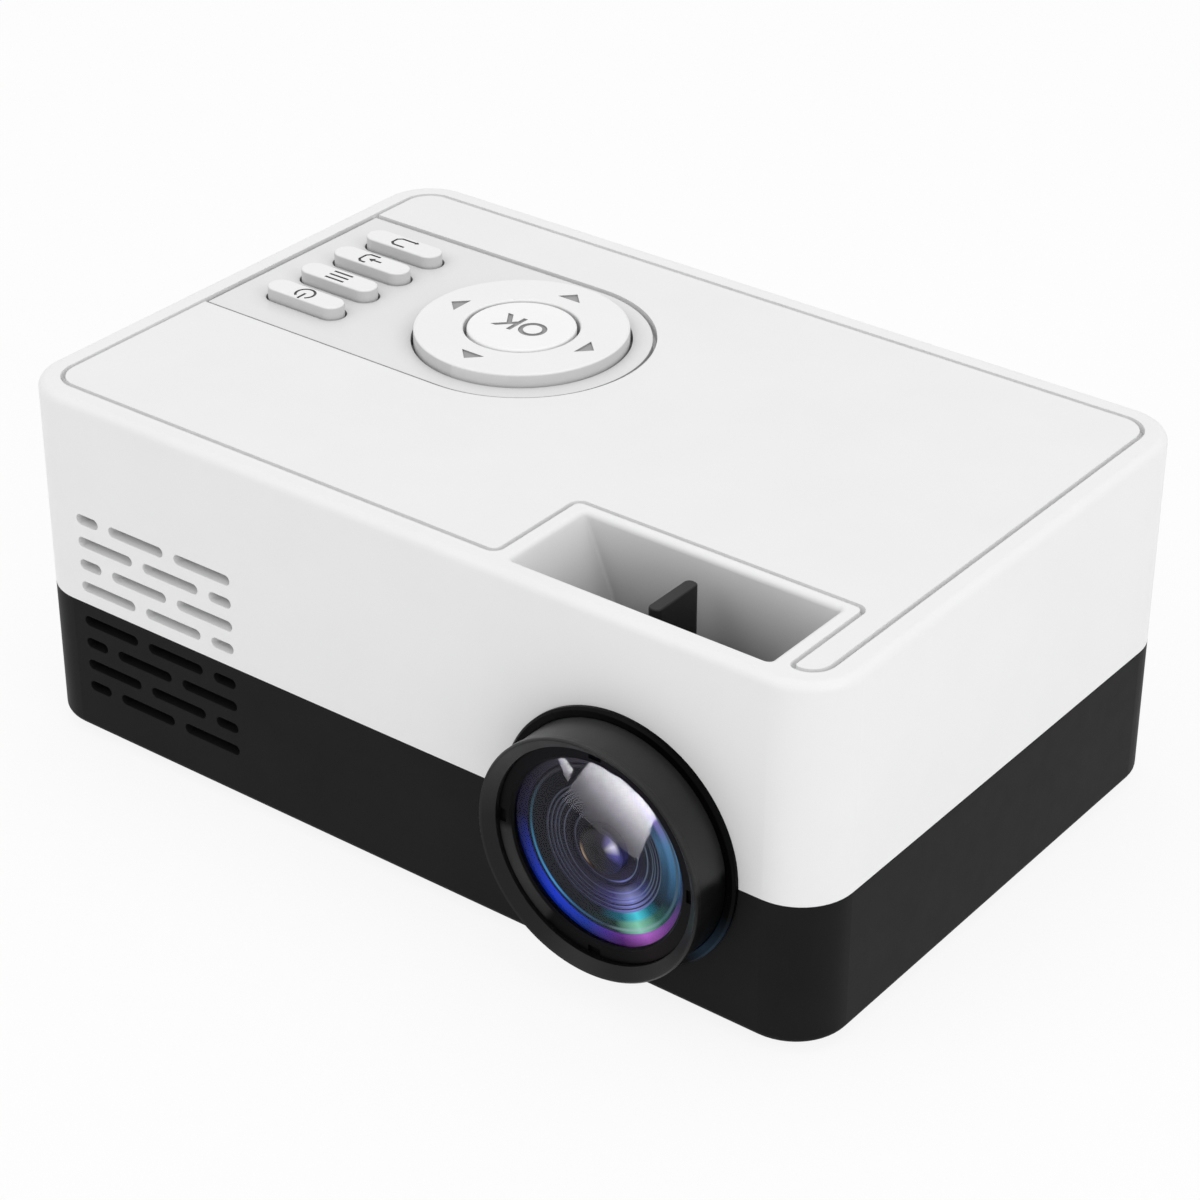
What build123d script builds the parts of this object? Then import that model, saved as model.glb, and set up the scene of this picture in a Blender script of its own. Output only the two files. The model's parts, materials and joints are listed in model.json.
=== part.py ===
from build123d import *
from math import cos, radians, sin
import os

# Mini projector: a two-part moulded housing with a flush top panel, a keypad, a focus
# lever in a well above the lens, and the optics, boards, fan and sockets inside.
# Millimetres. The origin is the mouth of the tripod thread, at the centre of the housing's
# underside. +Z is up, the lens looks along -Y, and +X is to the right seen from the front.

# Housing
width = 127.0
depth = 82.4
height = 50.2
parting_z = 20.0
corner_r = 7.6
top_edge_r = 1.2
bottom_edge_r = 0.9
wall = 2.0
ceiling_depth = 3.0
lip_height = 1.3
lip_gap = 0.1

# Top panel, a plate that lies in a pocket of the upper housing behind an open groove
panel_inset_x = 3.4
panel_inset_y = 3.3
panel_corner_r = 4.0
panel_thickness = 1.2
groove_width = 0.65

# Focus well: the open funnel over the lens barrel, and the notch that the panel leaves for it
well_offset = -0.1
well_width = 37.7
well_inset = 3.15
well_length = 14.45
well_clear = 0.4
well_slope = 4.9
well_wall = 1.2
well_corner_r = 0.5
well_lip_r = 0.8
well_slot_width = 22.0
notch_margin_x = 2.15
notch_margin_y = 1.6
notch_r = 1.3
tongue_inner_r = 0.85
tongue_outer_r = 2.95
tongue_step = 0.35

# Lens axis, set in from the right side, and barrel, with lengths from the housing's face
lens_inset = 28.15
lens_z = 20.1
barrel_r = 16.0
barrel_out = 6.8
lip_r = 16.2
lip_length = 0.9
lip_round = 0.25
dish_r = 14.5
dish_depth = 1.3
shoulder_inset = 16.7
barrel_rear_r = 13.0
barrel_rear_inset = 33.2
barrel_bore_r = 10.5
focus_travel = 2.2

# Round glass and rings in the barrel, at depths behind its front edge
glass_r = 13.1
glass_depth = 2.5
glass_edge = 0.8
glass_bulge = 0.9
retainer_inner_r = 12.5
retainer_bevel_r = 12.9
retainer_depth = 1.9
retainer_edge = 0.1
retainer_notch = 1.8
notch_inner_r = 13.4
notch_depth = 0.4
notch_count = 4
baffle_gap = 0.1
baffle_base = 1.0
baffle_step = 0.12
baffle_rings = (11.4, 8.5, 8.0, 7.5, 7.1, 4.75)
inner_lens_r = 3.2
inner_lens_rise = 0.3
inner_lens_bulge = 0.5
rear_lens_thickness = 3.0
rear_lens_inset = 2.0
seat_gap = 0.05

# Ring round the barrel on the housing's face
trim_r = 17.3
trim_out = 0.8
trim_round = 0.3
trim_tube = 0.6
trim_gap = 0.1
trim_tube_inside = 0.8
trim_seat_gap = 0.1

# Focus lever
lever_inset = 5.9
lever_length = 8.3
lever_thickness = 1.8
lever_sunk = 1.45
lever_round = 0.2
lever_end_r = 0.8
saddle_thickness = 1.1
saddle_half_angle = 26.0

# Barrel's friction ring and the tube that guides the barrel
friction_ring_inset = 27.2
friction_ring_width = 1.5
friction_groove_depth = 0.8
running_gap = 0.06
holder_wall = 1.2
holder_clear = 0.5
holder_flange = 2.0

# Optical engine behind the lens, high enough for the holder's hole in its front wall
engine_width = 42.0
engine_rim = 0.69
engine_inset = 29.2
engine_length = 32.0
engine_wall = 2.0
engine_lid_thickness = 1.5
rib_thickness = 1.2
rib_reach = 1.5
plate_gap = 0.2
fresnel_place = 13.0
fresnel_thickness = 2.0
lcd_place = 18.0
lcd_thickness = 2.6
condenser_place = 24.0
condenser_thickness = 3.0
condenser_bulge = 2.0
condenser_dome_r = 13.0
condenser_taper = 40.0
led_hole_r = 7.0
engine_post_inset = 4.0
led_board = 20.0
led_board_thickness = 1.6
led_chip = 8.0
led_chip_height = 1.0
sink_width = 33.0
sink_height = 30.0
sink_base = 3.0
sink_room = 3.6
sink_fin_thickness = 1.2
sink_fin_count = 9

# Vent slots: rows of short and long slots, counted up and down from the parting line
slot_height = 1.5
slot_long = 9.7
slot_short = 3.85
slot_gap = 1.95
row_pitch = 3.4
row_first = 2.65
row_count = 4
front_vent_inset = 23.25

# Keypad plate, its four keys, the direction ring and the centre key, set in from the left
# side and the rear
pad_inset_x = 44.3
pad_inset_y = 32.15
pad_r = 17.75
pad_gap = 0.6
pad_sunk = 0.25
pad_thickness = 1.5
key_inset = 15.0
key_shift = 0.15
key_pitch = 6.85
key_length = 12.7
key_width = 3.6
key_proud = 1.5
key_round = 0.3
key_gap = 0.3
key_flange = 0.8
key_flange_thickness = 1.0
key_flange_gap = 0.1
key_travel = 0.5
key_stem_r = 1.3
ring_r = 14.45
ring_bore_r = 7.8
ring_round = 0.3
ring_gap = 0.35
ring_flange_r = 15.3
ring_flange_thickness = 0.9
ring_tilt_room = 0.65
ok_r = 7.35
ok_round = 0.35
ok_flange_r = 8.3
ok_flange_thickness = 0.9
ok_flange_gap = 0.5
rocker_inner_r = 8.7
rocker_outer_r = 9.8
rocker_thickness = 0.8
rocker_upper_bump = 0.6
rocker_lower_bump = 0.4
rocker_gap = 0.1
aperture_gap = 0.8

# Key board and its push switches
switch_side = 4.2
switch_body = 3.3
switch_height = 3.9
switch_button_r = 1.1
switch_ring_r = 12.2
plunger_r = 1.2
plunger_room = 0.5
board_thickness = 1.6
key_board_side_gap = 1.5
key_board_reach = 18.2
key_board_depth = 40.4
key_post_left = 10.0
key_post_right = 3.0
key_post_inset_y = 2.75
post_r = 2.0
stake_r = 0.8
stake_gap = 0.1

# Screws that close the housing from below
screw_inset = 6.5
screw_post_r = 2.9
screw_boss_r = 3.5
screw_head_r = 2.5
screw_head_height = 1.6
screw_shank_r = 1.3
screw_shoulder_z = 14.0
screw_bite = 7.0
screw_gap = 0.2

# Underside: tripod thread insert and rubber feet
insert_r = 4.2
insert_length = 4.8
insert_bore_r = 2.55
insert_bore_depth = 4.5
insert_boss_wall = 2.0
foot_inset_x = 13.5
foot_inset_y = 13.2
foot_r = 5.0
foot_out = 1.5
foot_sunk = 0.5
foot_bevel = 0.4

# Main board, between the fan on its left and the engine and the heat sink on its right
board_z = 6.0
board_clear = 0.5
board_front_inset = 11.2
board_rear_gap = 0.6
board_engine_gap = 2.35
board_step_gap = 2.5
board_sink_gap = 1.35
board_post_inset = 4.0
board_post_step = 2.5
processor_place = (28.0, 26.0)
processor_side = 14.0
processor_height = 1.4
capacitor_inset = 10.0
capacitor_rows = (20.0, 28.0, 36.0)
far_capacitor_row = 38.0
capacitor_r = 3.0
capacitor_height = 8.0

# Sockets along the rear edge of the main board, and the spaces beside and between them,
# which take up the room between the fan and the heat sink in these proportions
socket_spaces = (2.9, 1.7, 2.2, 2.7, 2.2, 1.75)
power_width = 9.0
power_height = 11.0
power_length = 13.0
power_bore_r = 2.85
power_bore_depth = 9.5
power_pin_r = 1.0
power_pin_length = 8.5
av_width = 6.6
av_height = 5.4
av_length = 12.0
av_bore_r = 1.8
av_bore_depth = 11.0
hdmi_width = 15.0
hdmi_height = 5.6
hdmi_length = 11.5
hdmi_tongue = 11.0
hdmi_bevel = 1.4
usb_width = 13.2
usb_height = 5.8
usb_length = 14.0
usb_tongue = 11.1
card_width = 12.0
card_height = 1.9
card_length = 14.5
card_slit = 0.9
socket_wall = 0.5
socket_back = 2.0
socket_gap = 0.25
socket_recess = 0.6
tongue_root = 1.0
hdmi_tongue_thickness = 1.0
hdmi_tongue_drop = 1.2
hdmi_tongue_inset = 1.5
usb_tongue_thickness = 1.8
usb_tongue_drop = 0.2
usb_tongue_inset = 1.0

# Infrared window in the rear wall, beside the data socket
ir_offset = 10.2
ir_z = 14.6
ir_r = 2.6
ir_rim_r = 3.2
ir_rim_thickness = 1.0
ir_recess = 0.2

# Speaker behind the lower front slots
speaker_width = 26.0
speaker_height = 16.0
speaker_length = 6.0
speaker_z0 = 4.2
speaker_cone_r = 7.0
speaker_cone_depth = 2.4
speaker_cone_taper = 45.0
speaker_gap = 0.3
speaker_side_gap = 0.25

# Fan behind the slots of the left side
fan_size = 35.0
fan_length = 10.0
fan_inset = 33.2
fan_z = 20.5
fan_bore_r = 16.3
fan_wall_gap = 0.1
fan_corner_r = 2.5
fan_screw_r = 1.6
fan_screw_inset = 3.0
fan_hub_r = 7.5
fan_tip_gap = 0.6
fan_blade_count = 7
fan_blade_chord = 7.4
fan_blade_thickness = 0.9
fan_blade_root_angle = 42.0
fan_blade_tip_angle = 28.0
fan_shaft_r = 1.0
fan_shaft_length = 2.0
fan_base_thickness = 1.4
fan_strut_width = 2.0
fan_strut_count = 3
fan_strut_root = 1.0
fan_blade_root = 0.8

# Reach of a choice of edges or faces by their place
pick_margin = 0.1

# Places worked out from the sizes above
front_y = -depth / 2
rear_y = depth / 2
side_x = width / 2
inner_front_y = front_y + wall
inner_side_x = side_x - wall
ceiling_z = height - ceiling_depth
panel_z = height - panel_thickness
pad_top_z = height - pad_sunk
pad_bottom_z = pad_top_z - pad_thickness
key_top_z = height + key_proud
lens_x = side_x - lens_inset
barrel_front_y = front_y - barrel_out
trim_bore_r = barrel_r + trim_gap
trim_tube_r = trim_bore_r + trim_tube

# The well's floor passes over the trim ring's tube
well_x = lens_x + well_offset
well_front_y = front_y + well_inset
well_rear_y = well_front_y + well_length
well_floor_z = lens_z + trim_tube_r + well_clear + well_wall
lever_front_y = front_y + lever_inset
lever_top_z = height - lever_sunk

screw_x = side_x - screw_inset
screw_y = rear_y - screw_inset
screw_places = [(x, y) for x in (-screw_x, screw_x) for y in (-screw_y, screw_y)]
foot_x = side_x - foot_inset_x
foot_y = rear_y - foot_inset_y
foot_places = [(x, y) for x in (-foot_x, foot_x) for y in (-foot_y, foot_y)]
front_vent_x = -side_x + front_vent_inset
pad_x = -side_x + pad_inset_x
pad_y = rear_y - pad_inset_y
key_x = -side_x + key_inset
keys_y = pad_y + key_shift
key_places = [(key_x, keys_y + (k - 1.5) * key_pitch) for k in range(4)]
arrow_places = [
    (pad_x + switch_ring_r, pad_y), (pad_x, pad_y + switch_ring_r),
    (pad_x - switch_ring_r, pad_y), (pad_x, pad_y - switch_ring_r),
]

# Heights of the keypad's layers, from the plate down to the key board
key_flange_top = pad_bottom_z - key_flange_gap
key_flange_bottom = key_flange_top - key_flange_thickness
ring_flange_top = pad_bottom_z - ring_tilt_room
ring_bottom = ring_flange_top - ring_flange_thickness
rocker_top = ring_bottom - rocker_gap - rocker_upper_bump
rocker_bottom = rocker_top - rocker_thickness
pivot_seat_z = rocker_bottom - rocker_lower_bump - rocker_gap
ok_flange_top = ring_bottom - ok_flange_gap
ok_bottom = ok_flange_top - ok_flange_thickness
switch_top = ok_bottom - key_travel - key_flange_gap
key_board_top = switch_top - switch_height
key_board_z = key_board_top - board_thickness

# Depths along the lens axis, measured back from the barrel's front edge
shoulder_depth = barrel_out + shoulder_inset
barrel_length = barrel_out + barrel_rear_inset
glass_front = glass_depth + 2 * seat_gap
baffle_depth = glass_front + glass_edge + baffle_gap
inner_lens_depth = baffle_depth - inner_lens_rise
baffle_back = baffle_depth + baffle_step * len(baffle_rings) + baffle_base
friction_depth = barrel_out + friction_ring_inset
holder_bore_r = barrel_rear_r + running_gap
holder_outer_r = holder_bore_r + holder_wall

# The optical engine's walls
engine_height = 2 * (holder_outer_r + seat_gap + engine_rim + engine_lid_thickness)
engine_x0 = lens_x - engine_width / 2
engine_x1 = lens_x + engine_width / 2
engine_z0 = lens_z - engine_height / 2
engine_z1 = lens_z + engine_height / 2
engine_front_y = front_y + engine_inset
engine_rear_y = engine_front_y + engine_length
engine_lid_z = engine_z1 - engine_lid_thickness
sink_front_y = engine_rear_y + led_board_thickness
sink_x0 = lens_x - sink_width / 2
engine_post_x = (engine_x0 + engine_post_inset, engine_x1 - engine_post_inset)
engine_post_y = (engine_front_y + engine_post_inset, engine_rear_y - engine_post_inset)
engine_post_places = [(x, y) for x in engine_post_x for y in engine_post_y]
fresnel_y = engine_front_y + fresnel_place
lcd_y = engine_front_y + lcd_place
condenser_y = engine_front_y + condenser_place
optical_plates = (
    (fresnel_y, fresnel_thickness), (lcd_y, lcd_thickness), (condenser_y, condenser_thickness),
)

# The holder's tube starts where the barrel's shoulder stops at full travel inwards, and ends
# flush with the inner face of the engine's front wall
holder_front_y = front_y + shoulder_inset + focus_travel + holder_clear
holder_rear_y = engine_front_y + engine_wall

# The speaker stands beside the boss of the left front screw
speaker_x = -screw_x + screw_boss_r + speaker_side_gap + speaker_width / 2
speaker_front_y = inner_front_y + speaker_gap

# The fan's ends and the plane that its hub turns on
fan_x0 = -inner_side_x + fan_wall_gap
fan_x1 = fan_x0 + fan_length
fan_y = rear_y - fan_inset
fan_plane = Plane(origin=(fan_x0, fan_y, fan_z), x_dir=(0, 1, 0), z_dir=(1, 0, 0))

# The key board, from the left wall to past the direction ring
key_board_x0 = -inner_side_x + key_board_side_gap
key_board_x1 = pad_x + key_board_reach
key_board_y0 = keys_y - key_board_depth / 2
key_board_y1 = keys_y + key_board_depth / 2
key_post_x = (key_board_x0 + key_post_left, key_board_x1 - key_post_right)
key_post_y = (key_board_y0 + key_post_inset_y, key_board_y1 - key_post_inset_y)
key_post_places = [(x, y) for x in key_post_x for y in key_post_y]

# The sockets' middles, from the fan to the heat sink, and the face that they share in the
# rear wall
socket_widths = (power_width, av_width, hdmi_width, usb_width, card_width)
socket_end = fan_x1 + board_clear
socket_room = sink_x0 - board_clear - socket_end - sum(socket_widths)
socket_middles = []
for space, socket_width in zip(socket_spaces, socket_widths):
    socket_start = socket_end + space * socket_room / sum(socket_spaces)
    socket_end = socket_start + socket_width
    socket_middles.append(socket_start + socket_width / 2)
power_x, av_x, hdmi_x, usb_x, card_x = socket_middles
ir_x = usb_x + ir_offset
socket_rear_y = rear_y - socket_recess

# The main board, from the power socket's left face: beside the engine as far as its rear,
# and wider behind it
board_top = board_z + board_thickness
board_x0 = power_x - power_width / 2
board_x1 = engine_x0 - board_engine_gap
board_x2 = sink_x0 - board_sink_gap
board_y0 = front_y + board_front_inset
board_y1 = rear_y - wall - board_rear_gap
board_step_y = engine_rear_y + board_step_gap
board_post_x = (board_x0 + board_post_inset, board_x1 - board_post_inset)
board_post_y = (board_y0 + board_post_inset, board_step_y - board_post_step)
board_post_places = [(x, y) for x in board_post_x for y in board_post_y]
capacitor_places = [(board_x0 + capacitor_inset, board_y0 + row) for row in capacitor_rows]
capacitor_places.append((board_x1 - capacitor_inset, board_y0 + far_capacitor_row))

front_plane = Plane(origin=(0, front_y, 0), x_dir=(1, 0, 0), z_dir=(0, -1, 0))
rear_plane = Plane(origin=(0, rear_y, 0), x_dir=(-1, 0, 0), z_dir=(0, 1, 0))
left_plane = Plane(origin=(-side_x, 0, 0), x_dir=(0, -1, 0), z_dir=(-1, 0, 0))
lens_plane = Plane(origin=(lens_x, 0, lens_z), x_dir=(1, 0, 0), z_dir=(0, 1, 0))
lens_axis = Axis((lens_x, 0, lens_z), (0, 1, 0))
profile_plane = Plane(origin=(lens_x, barrel_front_y, lens_z), x_dir=(1, 0, 0), z_dir=(0, 0, 1))


def row_slots(short_first):
    """Centres and lengths of one vent row's slots, from the middle of the row."""
    lengths = [slot_short, slot_long, slot_long]
    if not short_first:
        lengths.reverse()
    start = -(sum(lengths) + 2 * slot_gap) / 2
    slots = []
    for length in lengths:
        slots.append((start + length / 2, length))
        start += length + slot_gap
    return slots


def vent_rows(plane, middle, side):
    """The slots of the rows above (side 1) or below (side -1) the parting line."""
    with BuildSketch(plane) as rows:
        for row in range(row_count):
            z = parting_z + side * (row_first + row * row_pitch)
            for centre, length in row_slots(row % 2 == 1):
                with Locations((middle + centre, z)):
                    SlotOverall(length, slot_height)
    return rows.sketch


def plan_outline(z, inset):
    """The housing's outline in plan, drawn in by the inset."""
    with BuildSketch(Plane.XY.offset(z)) as outline:
        RectangleRounded(width - 2 * inset, depth - 2 * inset, corner_r - inset)
    return outline.sketch


def panel_outline(z, grow):
    """The top panel's outline round the well's notch, grown from the groove's centre line."""
    left = -side_x + panel_inset_x - grow
    right = side_x - panel_inset_x + grow
    front = front_y + panel_inset_y - grow
    back = rear_y - panel_inset_y + grow
    notch_left = well_x - well_width / 2 - notch_margin_x + grow
    notch_right = well_x + well_width / 2 + notch_margin_x - grow
    notch_back = well_rear_y + notch_margin_y - grow
    tongue_front = front + tongue_step
    corners = [
        (left, front), (notch_left, front), (notch_left, notch_back), (notch_right, notch_back),
        (notch_right, tongue_front), (right, tongue_front), (right, back), (left, back),
    ]
    radii = [
        panel_corner_r + grow, notch_r + grow, notch_r - grow, notch_r - grow,
        tongue_inner_r + grow, tongue_outer_r + grow, panel_corner_r + grow, panel_corner_r + grow,
    ]
    with BuildSketch(Plane.XY.offset(z)) as outline:
        with BuildLine():
            FilletPolyline(*corners, radius=radii, close=True)
        make_face()
    return outline.sketch


def pad_outline(z, grow):
    """The keypad strip: a half round end, and straight sides that run past the panel's left."""
    with BuildSketch(Plane.XY.offset(z)) as outline:
        with Locations((pad_x, pad_y)):
            Circle(pad_r + grow)
            Rectangle(side_x, 2 * (pad_r + grow), align=(Align.MAX, Align.CENTER))
    return outline.sketch


def box_between(x0, x1, y0, y1, z0, z1, mode=Mode.ADD):
    """A block between two corners, in the active part."""
    with Locations(((x0 + x1) / 2, (y0 + y1) / 2, (z0 + z1) / 2)):
        Box(x1 - x0, y1 - y0, z1 - z0, mode=mode)


def post(places, radius, z0, z1, mode=Mode.ADD):
    """Upright round posts, or holes, at each place between two heights."""
    with Locations(*[(x, y, z0) for x, y in places]):
        Cylinder(radius, z1 - z0, align=(Align.CENTER, Align.CENTER, Align.MIN), mode=mode)


def turned(points):
    """A ring turned round the lens axis from a profile of radius and depth."""
    with BuildSketch(profile_plane) as profile:
        with BuildLine():
            Polyline(*points, close=True)
        make_face()
    revolve(profile.sketch, axis=lens_axis)


def domed(radius, edge_depth, rise, back_depth, back_rise):
    """A lens turned round the lens axis: domed in front, with a flat or hollow back."""

    def arc_middle(depth, height):
        sphere_r = (radius ** 2 + height ** 2) / (2 * height)
        return radius / 2, depth + (sphere_r - height) - (sphere_r ** 2 - radius ** 2 / 4) ** 0.5

    with BuildSketch(profile_plane) as profile:
        with BuildLine():
            ThreePointArc((0, edge_depth - rise), arc_middle(edge_depth, rise), (radius, edge_depth))
            Line((radius, edge_depth), (radius, back_depth))
            if back_rise:
                back_middle = arc_middle(back_depth, back_rise)
                ThreePointArc((radius, back_depth), back_middle, (0, back_depth - back_rise))
            else:
                Line((radius, back_depth), (0, back_depth))
            Line((0, back_depth - back_rise), (0, edge_depth - rise))
        make_face()
    revolve(profile.sketch, axis=lens_axis)


def pad_plate(z, side):
    """The keypad plate's outline (side -1) or that of its pocket (side 1)."""
    with BuildSketch(Plane.XY.offset(z)) as outline:
        add(pad_outline(z, side * pad_gap / 2))
        add(panel_outline(z, side * groove_width / 2), mode=Mode.INTERSECT)
    return outline.sketch


def key_slot(z, place, grow):
    """One key's outline, a slot with round ends, grown all round."""
    with BuildSketch(Plane.XY.offset(z)) as outline:
        with Locations(place):
            SlotOverall(key_length + 2 * grow, key_width + 2 * grow)
    return outline.sketch


def socket_hole(x, z, hole_width, hole_height):
    """A rectangular hole through the rear wall round a socket."""
    with BuildSketch(rear_plane) as hole:
        with Locations((-x, z)):
            Rectangle(hole_width + 2 * socket_gap, hole_height + 2 * socket_gap)
    extrude(hole.sketch, amount=-2 * wall, mode=Mode.SUBTRACT)


def socket_block(x, block_width, block_length, block_height):
    """A socket's body on the main board, with its rear face in the rear wall."""
    box_between(
        x - block_width / 2, x + block_width / 2, socket_rear_y - block_length, socket_rear_y,
        board_top, board_top + block_height,
    )


def round_bore(x, z, radius, bore_depth):
    """A round hole into a socket's rear face."""
    with BuildSketch(rear_plane.offset(-socket_recess)) as bore:
        with Locations((-x, z)):
            Circle(radius)
    extrude(bore.sketch, amount=-bore_depth, mode=Mode.SUBTRACT)


def optical_plate(y, thickness):
    """A plate across the engine, with a little room at its sides and top."""
    box_between(
        engine_x0 + engine_wall + plate_gap, engine_x1 - engine_wall - plate_gap,
        y, y + thickness, engine_z0 + engine_wall, engine_lid_z - plate_gap,
    )


def lens_opening():
    """The round opening for the lens through the front wall."""
    with BuildSketch(front_plane) as hole:
        with Locations((lens_x, lens_z)):
            Circle(trim_tube_r + trim_seat_gap)
    extrude(hole.sketch, amount=-wall, mode=Mode.SUBTRACT)


def vents(side):
    """The slots of one shell in its front, left and rear walls."""
    for plane, middle in ((front_plane, front_vent_x), (left_plane, -fan_y), (rear_plane, -lens_x)):
        extrude(vent_rows(plane, middle, side), amount=-wall - lip_gap, mode=Mode.SUBTRACT)


os.makedirs("parts", exist_ok=True)

# Lower housing, the black shell: bosses for the screws, the tripod insert and the main board,
# seats for the engine and the speaker, socket holes in the rear wall
with BuildPart() as lower_housing:
    extrude(plan_outline(0, 0), amount=parting_z)
    fillet(lower_housing.faces().sort_by(Axis.Z)[0].outer_wire().edges(), bottom_edge_r)
    extrude(plan_outline(wall, wall), amount=parting_z, mode=Mode.SUBTRACT)
    extrude(plan_outline(parting_z - lip_height, wall / 2), amount=lip_height, mode=Mode.SUBTRACT)
    post(screw_places, screw_boss_r, 0, parting_z)
    post(screw_places, screw_head_r + screw_gap, 0, screw_shoulder_z, Mode.SUBTRACT)
    post(screw_places, screw_shank_r + screw_gap, screw_shoulder_z, parting_z, Mode.SUBTRACT)
    post([(0, 0)], insert_r + insert_boss_wall, 0, board_z - board_clear)
    post([(0, 0)], insert_r + seat_gap, 0, insert_length, Mode.SUBTRACT)
    post(foot_places, foot_r + seat_gap, 0, foot_sunk, Mode.SUBTRACT)
    post(board_post_places, post_r, wall, board_z)
    post(board_post_places, stake_r, board_z, board_top + stake_gap)
    post(engine_post_places, post_r, wall, engine_z0)
    box_between(
        speaker_x - speaker_width / 2, speaker_x + speaker_width / 2,
        speaker_front_y, speaker_front_y + speaker_length, wall, speaker_z0,
    )
    lens_opening()
    vents(-1)
    socket_hole(power_x, board_top + power_height / 2, power_width, power_height)
    socket_hole(av_x, board_top + av_height / 2, av_width, av_height)
    socket_hole(hdmi_x, board_top + hdmi_height / 2, hdmi_width, hdmi_height)
    socket_hole(usb_x, board_top + usb_height / 2, usb_width, usb_height)
    socket_hole(card_x, board_top + card_height / 2, card_width, card_height)
    with BuildSketch(rear_plane) as ir_hole:
        with Locations((-ir_x, ir_z)):
            Circle(ir_r + seat_gap)
    extrude(ir_hole.sketch, amount=-wall, mode=Mode.SUBTRACT)
lower_housing.part.label = "lower_housing"
export_step(lower_housing.part, "parts/lower_housing.step")

# The focus well's hollow, a funnel with upright front and rear and sloping sides
well_half = well_width / 2
well_floor_half = well_half - well_slope
with BuildPart() as well_hollow:
    with BuildSketch(Plane(origin=(well_x, well_front_y, 0), x_dir=(1, 0, 0), z_dir=(0, -1, 0))) as funnel:
        with BuildLine():
            Polyline(
                (-well_half, height), (well_half, height),
                (well_floor_half, well_floor_z), (-well_floor_half, well_floor_z), close=True,
            )
        make_face()
    extrude(funnel.sketch, amount=-well_length)
    fillet(well_hollow.edges().filter_by(Axis.Y, reverse=True).filter_by(Axis.X, reverse=True), well_corner_r)

# Upper housing, the white shell: focus well, seats for the top panel and the keypad plate,
# screw posts, posts for the key board, and a lip that enters the lower shell
with BuildPart() as upper_housing:
    extrude(plan_outline(parting_z, 0), amount=height - parting_z)
    fillet(upper_housing.faces().sort_by(Axis.Z)[-1].outer_wire().edges(), top_edge_r)
    extrude(plan_outline(parting_z, wall), amount=ceiling_z - parting_z, mode=Mode.SUBTRACT)
    extrude(plan_outline(parting_z - lip_height + lip_gap, wall / 2 + lip_gap), amount=lip_height)
    extrude(plan_outline(parting_z - lip_height, wall), amount=2 * lip_height, mode=Mode.SUBTRACT)
    post(screw_places, screw_post_r, parting_z, ceiling_z)
    post(key_post_places, post_r, key_board_top, ceiling_z)
    post(key_post_places, stake_r, key_board_z - stake_gap, key_board_top)
    with BuildSketch(Plane(origin=(well_x, inner_front_y, 0), x_dir=(1, 0, 0), z_dir=(0, -1, 0))) as casing:
        with BuildLine():
            Polyline(
                (-well_half - well_wall, ceiling_z), (well_half + well_wall, ceiling_z),
                (well_floor_half + well_wall, well_floor_z - well_wall),
                (-well_floor_half - well_wall, well_floor_z - well_wall), close=True,
            )
        make_face()
    extrude(casing.sketch, amount=-(well_rear_y + well_wall - inner_front_y))
    extrude(panel_outline(panel_z, groove_width / 2), amount=panel_thickness, mode=Mode.SUBTRACT)
    extrude(pad_plate(pad_bottom_z, 1), amount=panel_z - pad_bottom_z, mode=Mode.SUBTRACT)
    with BuildSketch(Plane.XY.offset(ceiling_z)) as aperture:
        with Locations((pad_x, pad_y)):
            Circle(ring_flange_r + aperture_gap)
        with Locations((key_x, keys_y)):
            Rectangle(
                key_length + 2 * (key_flange + aperture_gap),
                3 * key_pitch + key_width + 2 * (key_flange + aperture_gap),
            )
    extrude(aperture.sketch, amount=panel_z - ceiling_z, mode=Mode.SUBTRACT)
    add(well_hollow.part, mode=Mode.SUBTRACT)
    box_between(
        lens_x - well_slot_width / 2, lens_x + well_slot_width / 2, well_front_y, well_rear_y,
        well_floor_z - well_wall, well_floor_z, Mode.SUBTRACT,
    )
    well_rim = (
        upper_housing.edges().filter_by_position(Axis.Z, height - pick_margin, height + pick_margin)
        .filter_by_position(Axis.X, well_x - well_half - pick_margin, well_x + well_half + pick_margin)
        .filter_by_position(Axis.Y, well_front_y - pick_margin, well_rear_y + pick_margin)
    )
    fillet(well_rim, well_lip_r)
    post(screw_places, screw_shank_r + seat_gap, parting_z, parting_z + screw_bite + seat_gap, Mode.SUBTRACT)
    lens_opening()
    vents(1)
upper_housing.part.label = "upper_housing"
export_step(upper_housing.part, "parts/upper_housing.step")

# Top panel, flush with the housing inside its groove
with BuildPart() as top_panel:
    extrude(panel_outline(panel_z, -groove_width / 2), amount=panel_thickness)
    extrude(pad_outline(panel_z, pad_gap / 2), amount=panel_thickness, mode=Mode.SUBTRACT)
top_panel.part.label = "top_panel"
export_step(top_panel.part, "parts/top_panel.step")

# Keypad plate, a little lower than the panel, with a hole for each key and the ring
with BuildPart() as keypad_plate:
    extrude(pad_plate(pad_bottom_z, -1), amount=pad_thickness)
    for place in key_places:
        extrude(key_slot(pad_bottom_z, place, key_gap), amount=pad_thickness, mode=Mode.SUBTRACT)
    post([(pad_x, pad_y)], ring_r + ring_gap, pad_bottom_z, pad_top_z, Mode.SUBTRACT)
keypad_plate.part.label = "keypad_plate"
export_step(keypad_plate.part, "parts/keypad_plate.step")

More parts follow.
